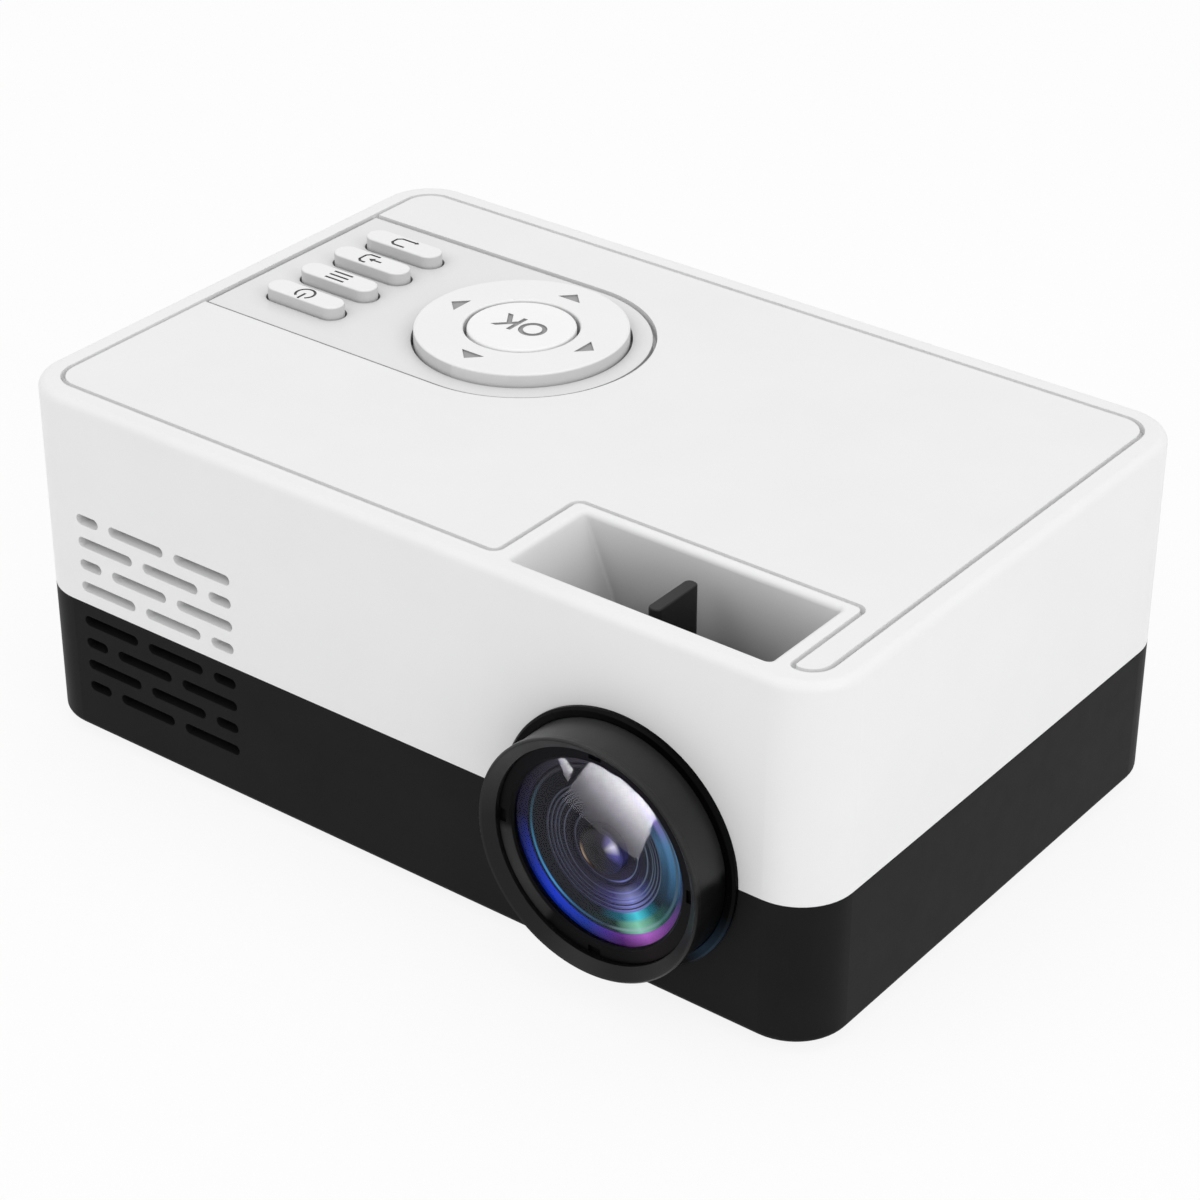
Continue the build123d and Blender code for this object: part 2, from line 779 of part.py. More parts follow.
# The four keys: a slot-shaped cap, a flange under the plate and a stem over its switch
for name, place in zip(("power_key", "menu_key", "source_key", "back_key"), key_places):
    with BuildPart() as key:
        extrude(key_slot(key_flange_bottom, place, 0), amount=key_top_z - key_flange_bottom)
        fillet(key.faces().sort_by(Axis.Z)[-1].edges(), key_round)
        extrude(key_slot(key_flange_bottom, place, key_flange), amount=key_flange_thickness)
        post([place], key_stem_r, ok_bottom, key_flange_bottom)
    key.part.label = name
    export_step(key.part, f"parts/{name}.step")

# Centre key
with BuildPart() as ok_key:
    post([(pad_x, pad_y)], ok_r, ok_bottom, key_top_z)
    fillet(ok_key.faces().sort_by(Axis.Z)[-1].edges(), ok_round)
    post([(pad_x, pad_y)], ok_flange_r, ok_bottom, ok_flange_top)
ok_key.part.label = "ok_key"
export_step(ok_key.part, "parts/ok_key.step")

# Direction ring, with a plunger over the switch of each direction
with BuildPart() as nav_ring:
    post([(pad_x, pad_y)], ring_r, ring_bottom, key_top_z)
    post([(pad_x, pad_y)], ring_flange_r, ring_bottom, ring_flange_top)
    post([(pad_x, pad_y)], ring_bore_r, ring_bottom, key_top_z, Mode.SUBTRACT)
    ring_edges = nav_ring.faces().sort_by(Axis.Z)[-1].edges().sort_by(SortBy.RADIUS)
    fillet(ring_edges[-1], ring_round)
    fillet(nav_ring.faces().sort_by(Axis.Z)[-1].edges().sort_by(SortBy.RADIUS)[0], ok_round)
    post(arrow_places, plunger_r, switch_top + plunger_room, ring_bottom)
nav_ring.part.label = "nav_ring"
export_step(nav_ring.part, "parts/nav_ring.step")

# Rocker between the direction ring and its seat: the ring tips on the upper pair of ridges
# about Y, and the rocker tips on the lower pair about X
rocker_mid_r = (rocker_inner_r + rocker_outer_r) / 2
rocker_width = rocker_outer_r - rocker_inner_r
with BuildPart() as nav_rocker:
    with Locations((pad_x, pad_y - rocker_mid_r, rocker_top), (pad_x, pad_y + rocker_mid_r, rocker_top)):
        Cylinder(rocker_upper_bump, rocker_width, rotation=(90, 0, 0))
    rocker_x0 = pad_x - rocker_mid_r
    rocker_x1 = pad_x + rocker_mid_r
    with Locations((rocker_x0, pad_y, rocker_bottom), (rocker_x1, pad_y, rocker_bottom)):
        Cylinder(rocker_lower_bump, rocker_width, rotation=(0, 90, 0))
    post([(pad_x, pad_y)], rocker_outer_r, rocker_bottom, rocker_top)
    post([(pad_x, pad_y)], rocker_inner_r, pivot_seat_z, ring_bottom, Mode.SUBTRACT)
nav_rocker.part.label = "nav_rocker"
export_step(nav_rocker.part, "parts/nav_rocker.step")

# Seat of the rocker, a short tube that stands on the key board
with BuildPart() as nav_seat:
    post([(pad_x, pad_y)], rocker_outer_r, key_board_top, pivot_seat_z)
    post([(pad_x, pad_y)], rocker_inner_r, key_board_top, pivot_seat_z, Mode.SUBTRACT)
nav_seat.part.label = "nav_seat"
export_step(nav_seat.part, "parts/nav_seat.step")

# Key board, hung from the posts of the upper housing
with BuildPart() as key_board:
    box_between(key_board_x0, key_board_x1, key_board_y0, key_board_y1, key_board_z, key_board_top)
    post(key_post_places, stake_r + stake_gap, key_board_z, key_board_top, Mode.SUBTRACT)
key_board.part.label = "key_board"
export_step(key_board.part, "parts/key_board.step")

# Push switches, one under each key, the centre key and each plunger of the ring
with BuildPart() as key_switches:
    for x, y in key_places + [(pad_x, pad_y)] + arrow_places:
        box_between(
            x - switch_side / 2, x + switch_side / 2, y - switch_side / 2, y + switch_side / 2,
            key_board_top, key_board_top + switch_body,
        )
        post([(x, y)], switch_button_r, key_board_top + switch_body, switch_top)
key_switches.part.label = "key_switches"
export_step(key_switches.part, "parts/key_switches.step")

# Trim ring, whose tube lines the opening between the two shells
with BuildPart() as lens_trim_ring:
    turned([
        (trim_bore_r, barrel_out - trim_out), (trim_r - trim_round, barrel_out - trim_out),
        (trim_r, barrel_out - trim_out + trim_round), (trim_r, barrel_out), (trim_tube_r, barrel_out),
        (trim_tube_r, barrel_out + wall + trim_tube_inside),
        (trim_bore_r, barrel_out + wall + trim_tube_inside),
    ])
lens_trim_ring.part.label = "lens_trim_ring"
export_step(lens_trim_ring.part, "parts/lens_trim_ring.step")

# Lens barrel: front lip with a dished face, large front tube, small rear tube with a groove
with BuildPart() as lens_barrel:
    groove_front = friction_depth - friction_ring_width / 2 - seat_gap
    groove_rear = friction_depth + friction_ring_width / 2 + seat_gap
    groove_r = barrel_rear_r - friction_groove_depth
    turned([
        (dish_r, dish_depth), (lip_r - lip_round, 0), (lip_r, lip_round), (lip_r, lip_length),
        (barrel_r, lip_length), (barrel_r, shoulder_depth), (barrel_rear_r, shoulder_depth),
        (barrel_rear_r, groove_front), (groove_r, groove_front), (groove_r, groove_rear),
        (barrel_rear_r, groove_rear), (barrel_rear_r, barrel_length), (barrel_bore_r, barrel_length),
        (barrel_bore_r, baffle_back), (glass_r + seat_gap, baffle_back),
        (glass_r + seat_gap, glass_depth), (dish_r, glass_depth),
    ])
lens_barrel.part.label = "lens_barrel"
export_step(lens_barrel.part, "parts/lens_barrel.step")

# Front glass, a shallow meniscus
with BuildPart() as front_glass:
    domed(glass_r, glass_front, glass_bulge, glass_front + glass_edge, glass_bulge)
front_glass.part.label = "front_glass"
export_step(front_glass.part, "parts/front_glass.step")

# Retaining ring over the glass: a flat rim with notches for a spanner, bevelled down inside
with BuildPart() as glass_retainer:
    turned([
        (retainer_bevel_r, retainer_depth), (dish_r - seat_gap, retainer_depth),
        (dish_r - seat_gap, glass_depth), (retainer_inner_r, glass_depth),
        (retainer_inner_r, glass_depth - retainer_edge),
    ])
    with BuildSketch(lens_plane.offset(barrel_front_y + retainer_depth)) as notches:
        with PolarLocations((notch_inner_r + dish_r) / 2, notch_count):
            Rectangle(dish_r - notch_inner_r, retainer_notch)
    extrude(notches.sketch, amount=notch_depth, mode=Mode.SUBTRACT)
glass_retainer.part.label = "glass_retainer"
export_step(glass_retainer.part, "parts/glass_retainer.step")

# Baffle behind the glass: rings that step back towards the inner lens
with BuildPart() as lens_baffle:
    steps = [(glass_r, baffle_back), (glass_r, baffle_depth)]
    for k, radius in enumerate(baffle_rings):
        steps.append((radius, baffle_depth + k * baffle_step))
        steps.append((radius, baffle_depth + (k + 1) * baffle_step))
    steps.append((inner_lens_r + seat_gap, baffle_back - baffle_base))
    steps.append((inner_lens_r + seat_gap, baffle_back))
    turned(steps)
lens_baffle.part.label = "lens_baffle"
export_step(lens_baffle.part, "parts/lens_baffle.step")

# Inner lens, seated in the baffle
with BuildPart() as inner_lens:
    domed(inner_lens_r, inner_lens_depth, inner_lens_bulge, baffle_back, 0)
inner_lens.part.label = "inner_lens"
export_step(inner_lens.part, "parts/inner_lens.step")

# Rear lens, in the rear end of the barrel
with BuildPart() as rear_lens:
    rear_depth = barrel_length - rear_lens_inset - rear_lens_thickness
    domed(barrel_bore_r - seat_gap, rear_depth, glass_bulge, barrel_length - rear_lens_inset, 0)
rear_lens.part.label = "rear_lens"
export_step(rear_lens.part, "parts/rear_lens.step")

# Focus lever: a fin over the barrel on a curved saddle
with BuildPart() as focus_lever:
    lever_rear_y = lever_front_y + lever_length
    box_between(
        lens_x - lever_thickness / 2, lens_x + lever_thickness / 2,
        lever_front_y, lever_rear_y, lens_z, lever_top_z,
    )
    fillet(focus_lever.edges().filter_by(Axis.Z), lever_end_r)
    fillet(focus_lever.faces().sort_by(Axis.Z)[-1].edges(), lever_round)
    saddle_r = barrel_r + saddle_thickness
    side_x_at = saddle_r * sin(radians(saddle_half_angle))
    side_z_at = saddle_r * cos(radians(saddle_half_angle))
    lever_plane = Plane(origin=(lens_x, lever_front_y, lens_z), x_dir=(1, 0, 0), z_dir=(0, -1, 0))
    with BuildSketch(lever_plane) as saddle:
        with BuildLine():
            Line((0, 0), (-side_x_at, side_z_at))
            ThreePointArc((-side_x_at, side_z_at), (0, saddle_r), (side_x_at, side_z_at))
            Line((side_x_at, side_z_at), (0, 0))
        make_face()
    extrude(saddle.sketch, amount=-lever_length)
    with BuildSketch(lever_plane) as barrel_space:
        Circle(barrel_r)
    extrude(barrel_space.sketch, amount=-lever_length, mode=Mode.SUBTRACT)
focus_lever.part.label = "focus_lever"
export_step(focus_lever.part, "parts/focus_lever.step")

# Friction ring in the barrel's groove
with BuildPart() as friction_ring:
    turned([
        (barrel_rear_r - friction_groove_depth + seat_gap, friction_depth - friction_ring_width / 2),
        (barrel_rear_r, friction_depth - friction_ring_width / 2),
        (barrel_rear_r, friction_depth + friction_ring_width / 2),
        (barrel_rear_r - friction_groove_depth + seat_gap, friction_depth + friction_ring_width / 2),
    ])
friction_ring.part.label = "friction_ring"
export_step(friction_ring.part, "parts/friction_ring.step")

# Lens holder: the tube that guides the barrel, on a flange against the engine
with BuildPart() as lens_holder:
    box_between(
        engine_x0, engine_x1, engine_front_y - holder_flange, engine_front_y, engine_z0, engine_z1,
    )
    with BuildSketch(lens_plane.offset(holder_front_y)) as holder_tube:
        Circle(holder_outer_r)
    extrude(holder_tube.sketch, amount=holder_rear_y - holder_front_y)
    with BuildSketch(lens_plane.offset(holder_front_y)) as holder_bore:
        Circle(holder_bore_r)
    extrude(holder_bore.sketch, amount=holder_rear_y - holder_front_y, mode=Mode.SUBTRACT)
lens_holder.part.label = "lens_holder"
export_step(lens_holder.part, "parts/lens_holder.step")

# Engine case: a box open at the top, with slots between ribs for the optical plates
with BuildPart() as engine_case:
    box_between(engine_x0, engine_x1, engine_front_y, engine_rear_y, engine_z0, engine_lid_z)
    box_between(
        engine_x0 + engine_wall, engine_x1 - engine_wall, engine_front_y + engine_wall,
        engine_rear_y - engine_wall, engine_z0 + engine_wall, engine_lid_z, Mode.SUBTRACT,
    )
    with BuildSketch(lens_plane.offset(engine_front_y)) as holder_hole:
        Circle(holder_outer_r + seat_gap)
    extrude(holder_hole.sketch, amount=engine_wall, mode=Mode.SUBTRACT)
    with BuildSketch(lens_plane.offset(engine_rear_y)) as led_hole:
        Circle(led_hole_r)
    extrude(led_hole.sketch, amount=-engine_wall, mode=Mode.SUBTRACT)
    for plate_y, plate_thickness in optical_plates:
        for y in (plate_y - plate_gap - rib_thickness, plate_y + plate_thickness + plate_gap):
            for x in (engine_x0 + engine_wall, engine_x1 - engine_wall - rib_reach):
                box_between(x, x + rib_reach, y, y + rib_thickness, engine_z0 + engine_wall, engine_lid_z)
engine_case.part.label = "engine_case"
export_step(engine_case.part, "parts/engine_case.step")

# Lid of the engine
with BuildPart() as engine_lid:
    box_between(engine_x0, engine_x1, engine_front_y, engine_rear_y, engine_lid_z, engine_z1)
engine_lid.part.label = "engine_lid"
export_step(engine_lid.part, "parts/engine_lid.step")

# The optical plates, which stand on the engine's floor between its ribs
with BuildPart() as fresnel_lens:
    optical_plate(fresnel_y, fresnel_thickness)
fresnel_lens.part.label = "fresnel_lens"
export_step(fresnel_lens.part, "parts/fresnel_lens.step")

with BuildPart() as lcd_panel:
    optical_plate(lcd_y, lcd_thickness)
lcd_panel.part.label = "lcd_panel"
export_step(lcd_panel.part, "parts/lcd_panel.step")

with BuildPart() as condenser_lens:
    optical_plate(condenser_y, condenser_thickness)
    with BuildSketch(lens_plane.offset(condenser_y + condenser_thickness)) as dome_foot:
        Circle(condenser_dome_r)
    extrude(dome_foot.sketch, amount=condenser_bulge, taper=condenser_taper)
condenser_lens.part.label = "condenser_lens"
export_step(condenser_lens.part, "parts/condenser_lens.step")

# Light source on its small board, between the engine and the heat sink
with BuildPart() as led_module:
    box_between(
        lens_x - led_board / 2, lens_x + led_board / 2, engine_rear_y, sink_front_y,
        lens_z - led_board / 2, lens_z + led_board / 2,
    )
    box_between(
        lens_x - led_chip / 2, lens_x + led_chip / 2, engine_rear_y - led_chip_height, engine_rear_y,
        lens_z - led_chip / 2, lens_z + led_chip / 2,
    )
led_module.part.label = "led_module"
export_step(led_module.part, "parts/led_module.step")

# Heat sink with upright fins, which end a little before the rear wall
with BuildPart() as heat_sink:
    sink_z0 = lens_z - sink_height / 2
    fin_y = sink_front_y + sink_base
    sink_fin_length = rear_y - wall - sink_room - fin_y
    box_between(sink_x0, sink_x0 + sink_width, sink_front_y, fin_y, sink_z0, sink_z0 + sink_height)
    fin_pitch = (sink_width - sink_fin_thickness) / (sink_fin_count - 1)
    for k in range(sink_fin_count):
        x = sink_x0 + k * fin_pitch
        box_between(x, x + sink_fin_thickness, fin_y, fin_y + sink_fin_length, sink_z0, sink_z0 + sink_height)
heat_sink.part.label = "heat_sink"
export_step(heat_sink.part, "parts/heat_sink.step")

# Fan frame, against the slots of the left side, with the motor's base on three struts
with BuildPart() as fan_frame:
    with BuildSketch(fan_plane) as frame_outline:
        RectangleRounded(fan_size, fan_size, fan_corner_r)
        Circle(fan_bore_r, mode=Mode.SUBTRACT)
        with GridLocations(fan_size - 2 * fan_screw_inset, fan_size - 2 * fan_screw_inset, 2, 2):
            Circle(fan_screw_r, mode=Mode.SUBTRACT)
    extrude(frame_outline.sketch, amount=fan_length)
    with BuildSketch(fan_plane.offset(fan_length - fan_base_thickness)) as motor_base:
        Circle(fan_hub_r)
        with PolarLocations(0, fan_strut_count):
            Rectangle(fan_bore_r + fan_strut_root, fan_strut_width, align=(Align.MIN, Align.CENTER))
        Circle(fan_shaft_r + running_gap, mode=Mode.SUBTRACT)
    extrude(motor_base.sketch, amount=fan_base_thickness)
fan_frame.part.label = "fan_frame"
export_step(fan_frame.part, "parts/fan_frame.step")

# Fan rotor: hub, twisted blades and the shaft that turns in the motor's base
hub_length = fan_length - fan_base_thickness - 2 * fan_tip_gap
with BuildPart() as fan_rotor:
    with BuildSketch(fan_plane.offset(fan_tip_gap)) as hub:
        Circle(fan_hub_r)
    extrude(hub.sketch, amount=hub_length)
    with BuildSketch(fan_plane.offset(fan_tip_gap + hub_length)) as shaft:
        Circle(fan_shaft_r)
    extrude(shaft.sketch, amount=fan_shaft_length)
    for k in range(fan_blade_count):
        angle = radians(360 / fan_blade_count * k)
        outward = Plane(
            origin=(fan_x0 + fan_tip_gap + hub_length / 2, fan_y, fan_z),
            x_dir=(1, 0, 0), z_dir=(0, cos(angle), sin(angle)),
        )
        with BuildSketch(outward.offset(fan_hub_r - fan_blade_root)) as blade_root:
            Rectangle(fan_blade_chord, fan_blade_thickness, rotation=fan_blade_root_angle)
        with BuildSketch(outward.offset(fan_bore_r - fan_tip_gap)) as blade_tip:
            Rectangle(fan_blade_chord, fan_blade_thickness, rotation=fan_blade_tip_angle)
        loft([blade_root.sketch, blade_tip.sketch])
fan_rotor.part.label = "fan_rotor"
export_step(fan_rotor.part, "parts/fan_rotor.step")

# Main board with its larger components
with BuildPart() as main_board:
    with BuildSketch(Plane.XY.offset(board_z)) as board_outline:
        with BuildLine():
            Polyline(
                (board_x0, board_y0), (board_x1, board_y0), (board_x1, board_step_y),
                (board_x2, board_step_y), (board_x2, board_y1), (board_x0, board_y1), close=True,
            )
        make_face()
    extrude(board_outline.sketch, amount=board_thickness)
    post(board_post_places, stake_r + stake_gap, board_z, board_top, Mode.SUBTRACT)
    processor_x = board_x0 + processor_place[0]
    processor_y = board_y0 + processor_place[1]
    with Locations((processor_x, processor_y, board_top + processor_height / 2)):
        Box(processor_side, processor_side, processor_height)
    post(capacitor_places, capacitor_r, board_top, board_top + capacitor_height)
main_board.part.label = "main_board"
export_step(main_board.part, "parts/main_board.step")

# Power socket, a barrel jack with a centre pin
with BuildPart() as power_socket:
    socket_block(power_x, power_width, power_length, power_height)
    round_bore(power_x, board_top + power_height / 2, power_bore_r, power_bore_depth)
    with BuildSketch(rear_plane.offset(-socket_recess - power_bore_depth)) as power_pin:
        with Locations((-power_x, board_top + power_height / 2)):
            Circle(power_pin_r)
    extrude(power_pin.sketch, amount=power_pin_length)
power_socket.part.label = "power_socket"
export_step(power_socket.part, "parts/power_socket.step")

# Audio and video socket
with BuildPart() as av_jack:
    socket_block(av_x, av_width, av_length, av_height)
    round_bore(av_x, board_top + av_height / 2, av_bore_r, av_bore_depth)
av_jack.part.label = "av_jack"
export_step(av_jack.part, "parts/av_jack.step")

# Display socket: a shell with bevelled lower corners round a thin tongue
with BuildPart() as hdmi_port:
    socket_block(hdmi_x, hdmi_width, hdmi_length, hdmi_height)
    half = hdmi_width / 2 - socket_wall
    low = board_top + socket_wall
    high = board_top + hdmi_height - socket_wall
    with BuildSketch(rear_plane.offset(-socket_recess)) as hdmi_mouth:
        with BuildLine():
            Polyline(
                (-hdmi_x - half, high), (-hdmi_x + half, high), (-hdmi_x + half, low + hdmi_bevel),
                (-hdmi_x + half - hdmi_bevel, low), (-hdmi_x - half + hdmi_bevel, low),
                (-hdmi_x - half, low + hdmi_bevel), close=True,
            )
        make_face()
    extrude(hdmi_mouth.sketch, amount=-(hdmi_length - socket_back), mode=Mode.SUBTRACT)
    hdmi_tongue_top = high - hdmi_tongue_drop
    box_between(
        hdmi_x - hdmi_tongue / 2, hdmi_x + hdmi_tongue / 2, socket_rear_y - hdmi_length + tongue_root,
        socket_rear_y - hdmi_tongue_inset, hdmi_tongue_top - hdmi_tongue_thickness, hdmi_tongue_top,
    )
hdmi_port.part.label = "hdmi_port"
export_step(hdmi_port.part, "parts/hdmi_port.step")

# Data socket: a plain shell with its tongue along the top
with BuildPart() as usb_port:
    socket_block(usb_x, usb_width, usb_length, usb_height)
    box_between(
        usb_x - usb_width / 2 + socket_wall, usb_x + usb_width / 2 - socket_wall,
        socket_rear_y - usb_length + socket_back, socket_rear_y, board_top + socket_wall,
        board_top + usb_height - socket_wall, Mode.SUBTRACT,
    )
    usb_tongue_top = board_top + usb_height - socket_wall - usb_tongue_drop
    box_between(
        usb_x - usb_tongue / 2, usb_x + usb_tongue / 2, socket_rear_y - usb_length + tongue_root,
        socket_rear_y - usb_tongue_inset, usb_tongue_top - usb_tongue_thickness, usb_tongue_top,
    )
usb_port.part.label = "usb_port"
export_step(usb_port.part, "parts/usb_port.step")

# Memory card slot
with BuildPart() as card_slot:
    socket_block(card_x, card_width, card_length, card_height)
    box_between(
        card_x - card_width / 2 + socket_wall, card_x + card_width / 2 - socket_wall,
        socket_rear_y - card_length + socket_back, socket_rear_y,
        board_top + socket_wall, board_top + socket_wall + card_slit, Mode.SUBTRACT,
    )
card_slot.part.label = "card_slot"
export_step(card_slot.part, "parts/card_slot.step")

# Infrared window, with a rim inside the rear wall
with BuildPart() as ir_window:
    with BuildSketch(rear_plane.offset(-wall - ir_rim_thickness)) as ir_rim:
        with Locations((-ir_x, ir_z)):
            Circle(ir_rim_r)
    extrude(ir_rim.sketch, amount=ir_rim_thickness)
    with BuildSketch(rear_plane.offset(-wall)) as ir_face:
        with Locations((-ir_x, ir_z)):
            Circle(ir_r)
    extrude(ir_face.sketch, amount=wall - ir_recess)
ir_window.part.label = "ir_window"
export_step(ir_window.part, "parts/ir_window.step")

# Speaker, with its cone towards the front slots
with BuildPart() as speaker:
    box_between(
        speaker_x - speaker_width / 2, speaker_x + speaker_width / 2, speaker_front_y,
        speaker_front_y + speaker_length, speaker_z0, speaker_z0 + speaker_height,
    )
    with BuildSketch(front_plane.offset(-wall - speaker_gap)) as cone_mouth:
        with Locations((speaker_x, speaker_z0 + speaker_height / 2)):
            Circle(speaker_cone_r)
    extrude(cone_mouth.sketch, amount=-speaker_cone_depth, taper=speaker_cone_taper, mode=Mode.SUBTRACT)
speaker.part.label = "speaker"
export_step(speaker.part, "parts/speaker.step")

# Rubber feet, set a little into the underside
with BuildPart() as rubber_feet:
    post(foot_places, foot_r, -foot_out, foot_sunk)
    soles = rubber_feet.faces().filter_by_position(Axis.Z, -foot_out - pick_margin, -foot_out + pick_margin)
    chamfer(soles.edges(), foot_bevel)
rubber_feet.part.label = "rubber_feet"
export_step(rubber_feet.part, "parts/rubber_feet.step")

# Housing screws, whose heads bear up on the shoulders in the lower bosses
with BuildPart() as housing_screws:
    post(screw_places, screw_head_r, screw_shoulder_z - screw_head_height, screw_shoulder_z)
    post(screw_places, screw_shank_r, screw_shoulder_z, parting_z + screw_bite)
housing_screws.part.label = "housing_screws"
export_step(housing_screws.part, "parts/housing_screws.step")

# Tripod insert, bored to the minor diameter of its quarter-inch thread
with BuildPart() as tripod_insert:
    post([(0, 0)], insert_r, 0, insert_length)
    post([(0, 0)], insert_bore_r, 0, insert_bore_depth, Mode.SUBTRACT)
tripod_insert.part.label = "tripod_insert"
export_step(tripod_insert.part, "parts/tripod_insert.step")
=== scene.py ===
import json
import math

import bmesh
import bpy
from mathutils import Matrix, Vector

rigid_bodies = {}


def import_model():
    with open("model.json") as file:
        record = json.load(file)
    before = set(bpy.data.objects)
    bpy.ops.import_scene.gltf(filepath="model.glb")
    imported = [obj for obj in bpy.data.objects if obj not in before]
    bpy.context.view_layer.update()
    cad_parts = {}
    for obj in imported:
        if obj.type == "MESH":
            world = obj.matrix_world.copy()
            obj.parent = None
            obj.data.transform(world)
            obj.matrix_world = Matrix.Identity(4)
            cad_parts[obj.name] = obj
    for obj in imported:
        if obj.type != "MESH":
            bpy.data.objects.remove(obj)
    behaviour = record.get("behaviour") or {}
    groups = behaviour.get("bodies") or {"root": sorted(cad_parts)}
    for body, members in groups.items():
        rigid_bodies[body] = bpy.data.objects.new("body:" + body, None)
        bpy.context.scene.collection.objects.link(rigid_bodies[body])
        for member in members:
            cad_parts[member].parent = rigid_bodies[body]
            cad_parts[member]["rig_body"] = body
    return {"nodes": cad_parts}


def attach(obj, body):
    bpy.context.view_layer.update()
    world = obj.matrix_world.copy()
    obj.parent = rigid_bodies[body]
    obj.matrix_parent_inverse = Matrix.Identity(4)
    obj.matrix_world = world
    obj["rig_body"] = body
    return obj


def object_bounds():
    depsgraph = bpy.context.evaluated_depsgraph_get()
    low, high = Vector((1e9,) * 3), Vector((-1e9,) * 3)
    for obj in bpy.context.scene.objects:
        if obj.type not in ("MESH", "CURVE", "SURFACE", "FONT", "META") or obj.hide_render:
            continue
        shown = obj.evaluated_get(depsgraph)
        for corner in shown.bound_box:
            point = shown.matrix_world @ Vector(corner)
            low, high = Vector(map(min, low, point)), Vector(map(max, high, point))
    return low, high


# The mini projector's looks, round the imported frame. Metres, in the frame's own axes.
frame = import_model()
cad_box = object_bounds()
nodes = frame["nodes"]
MM = 0.001

# Places repeated from the source, in millimetres
lens_x, lens_z = 35.35, 20.1
barrel_lip_y = -47.85
well_x, well_y, well_z = (15.5, 55.0), (-38.3, -23.2), (37.0, 49.8)
pad_x, pad_y = -19.2, 9.05
key_x = -48.5
key_top = 51.7

# The front glass's outer dome, in metres
dome_apex = (lens_x * MM, -0.0464, lens_z * MM)
dome_radius = 0.0958


# Steps in node trees

def own_place(tree):
    """The object's own coordinates."""
    return tree.nodes.new("ShaderNodeTexCoord").outputs["Object"]


def axes(tree, vector):
    """A vector's X, Y and Z."""
    split = tree.nodes.new("ShaderNodeSeparateXYZ")
    tree.links.new(vector, split.inputs["Vector"])
    return split.outputs["X"], split.outputs["Y"], split.outputs["Z"]


def feed(tree, value, socket):
    """Sets a number on the socket, or links an output to it."""
    if isinstance(value, (int, float)):
        socket.default_value = value
    else:
        tree.links.new(value, socket)


def maths(tree, operation, *values):
    """One step of arithmetic on outputs or numbers."""
    node = tree.nodes.new("ShaderNodeMath")
    node.operation = operation
    for value, socket in zip(values, node.inputs):
        feed(tree, value, socket)
    return node.outputs[0]


def in_mm(tree, metres):
    """A length in millimetres."""
    return maths(tree, "MULTIPLY", metres, 1000.0)


def between(tree, factor, low, high):
    """A number that goes from low to high with the factor."""
    mapped = tree.nodes.new("ShaderNodeMapRange")
    mapped.inputs["To Min"].default_value = low
    mapped.inputs["To Max"].default_value = high
    tree.links.new(factor, mapped.inputs["Value"])
    return mapped.outputs["Result"]


def beyond(tree, value, edge, width):
    """0 below the edge and 1 above it, with a soft step of that width."""
    mapped = tree.nodes.new("ShaderNodeMapRange")
    mapped.inputs["From Min"].default_value = edge - width / 2
    mapped.inputs["From Max"].default_value = edge + width / 2
    tree.links.new(value, mapped.inputs["Value"])
    return mapped.outputs["Result"]


def within(tree, value, start, end, width):
    """1 between two edges and 0 outside them, with soft steps."""
    before_end = maths(tree, "SUBTRACT", 1.0, beyond(tree, value, end, width))
    return maths(tree, "MULTIPLY", beyond(tree, value, start, width), before_end)


def noise(tree, scale, detail=2.0, roughness=0.5):
    """Noise over the object's own coordinates, with its scale in turns per metre."""
    texture = tree.nodes.new("ShaderNodeTexNoise")
    texture.inputs["Scale"].default_value = scale
    texture.inputs["Detail"].default_value = detail
    texture.inputs["Roughness"].default_value = roughness
    tree.links.new(own_place(tree), texture.inputs["Vector"])
    return texture.outputs["Fac"]


def grey(level):
    """A grey of that level."""
    return (level,) * 3


def ramp(tree, factor, stops):
    """Colours along the factor, from (place, colour) stops."""
    made = tree.nodes.new("ShaderNodeValToRGB")
    elements = made.color_ramp.elements
    while len(elements) < len(stops):
        elements.new(0.5)
    for element, (place, colour) in zip(elements, stops):
        element.position = place
        element.color = (*colour, 1.0)
    tree.links.new(factor, made.inputs["Fac"])
    return made.outputs["Color"]


def mixed(tree, factor, first, second, blend="MIX"):
    """Colour first, blended with second by the factor, which is an output or a number."""
    mix = tree.nodes.new("ShaderNodeMix")
    mix.data_type = "RGBA"
    mix.blend_type = blend
    feed(tree, factor, mix.inputs["Factor"])
    tree.links.new(first, mix.inputs[6])
    tree.links.new(second, mix.inputs[7])
    return mix.outputs[2]


def mixed_shaders(tree, factor, first, second):
    """Shader first, or second where the factor is 1."""
    mix = tree.nodes.new("ShaderNodeMixShader")
    tree.links.new(factor, mix.inputs["Fac"])
    tree.links.new(first, mix.inputs[1])
    tree.links.new(second, mix.inputs[2])
    return mix.outputs["Shader"]


def seen_directly(tree):
    """1 for rays of the camera, of mirrors and through glass, and 0 for all that only light."""
    path = tree.nodes.new("ShaderNodeLightPath")
    rays = maths(tree, "ADD", path.outputs["Is Camera Ray"], path.outputs["Is Glossy Ray"])
    rays = maths(tree, "ADD", rays, path.outputs["Is Transmission Ray"])
    return maths(tree, "MINIMUM", rays, 1.0)


def bumped(tree, shader, height, strength, distance, under=None):
    """Bumps from a height, over another normal where one is given. The distance is in metres."""
    bump = tree.nodes.new("ShaderNodeBump")
    bump.inputs["Strength"].default_value = strength
    bump.inputs["Distance"].default_value = distance
    tree.links.new(height, bump.inputs["Height"])
    if under:
        tree.links.new(under, bump.inputs["Normal"])
    tree.links.new(bump.outputs["Normal"], shader.inputs["Normal"])


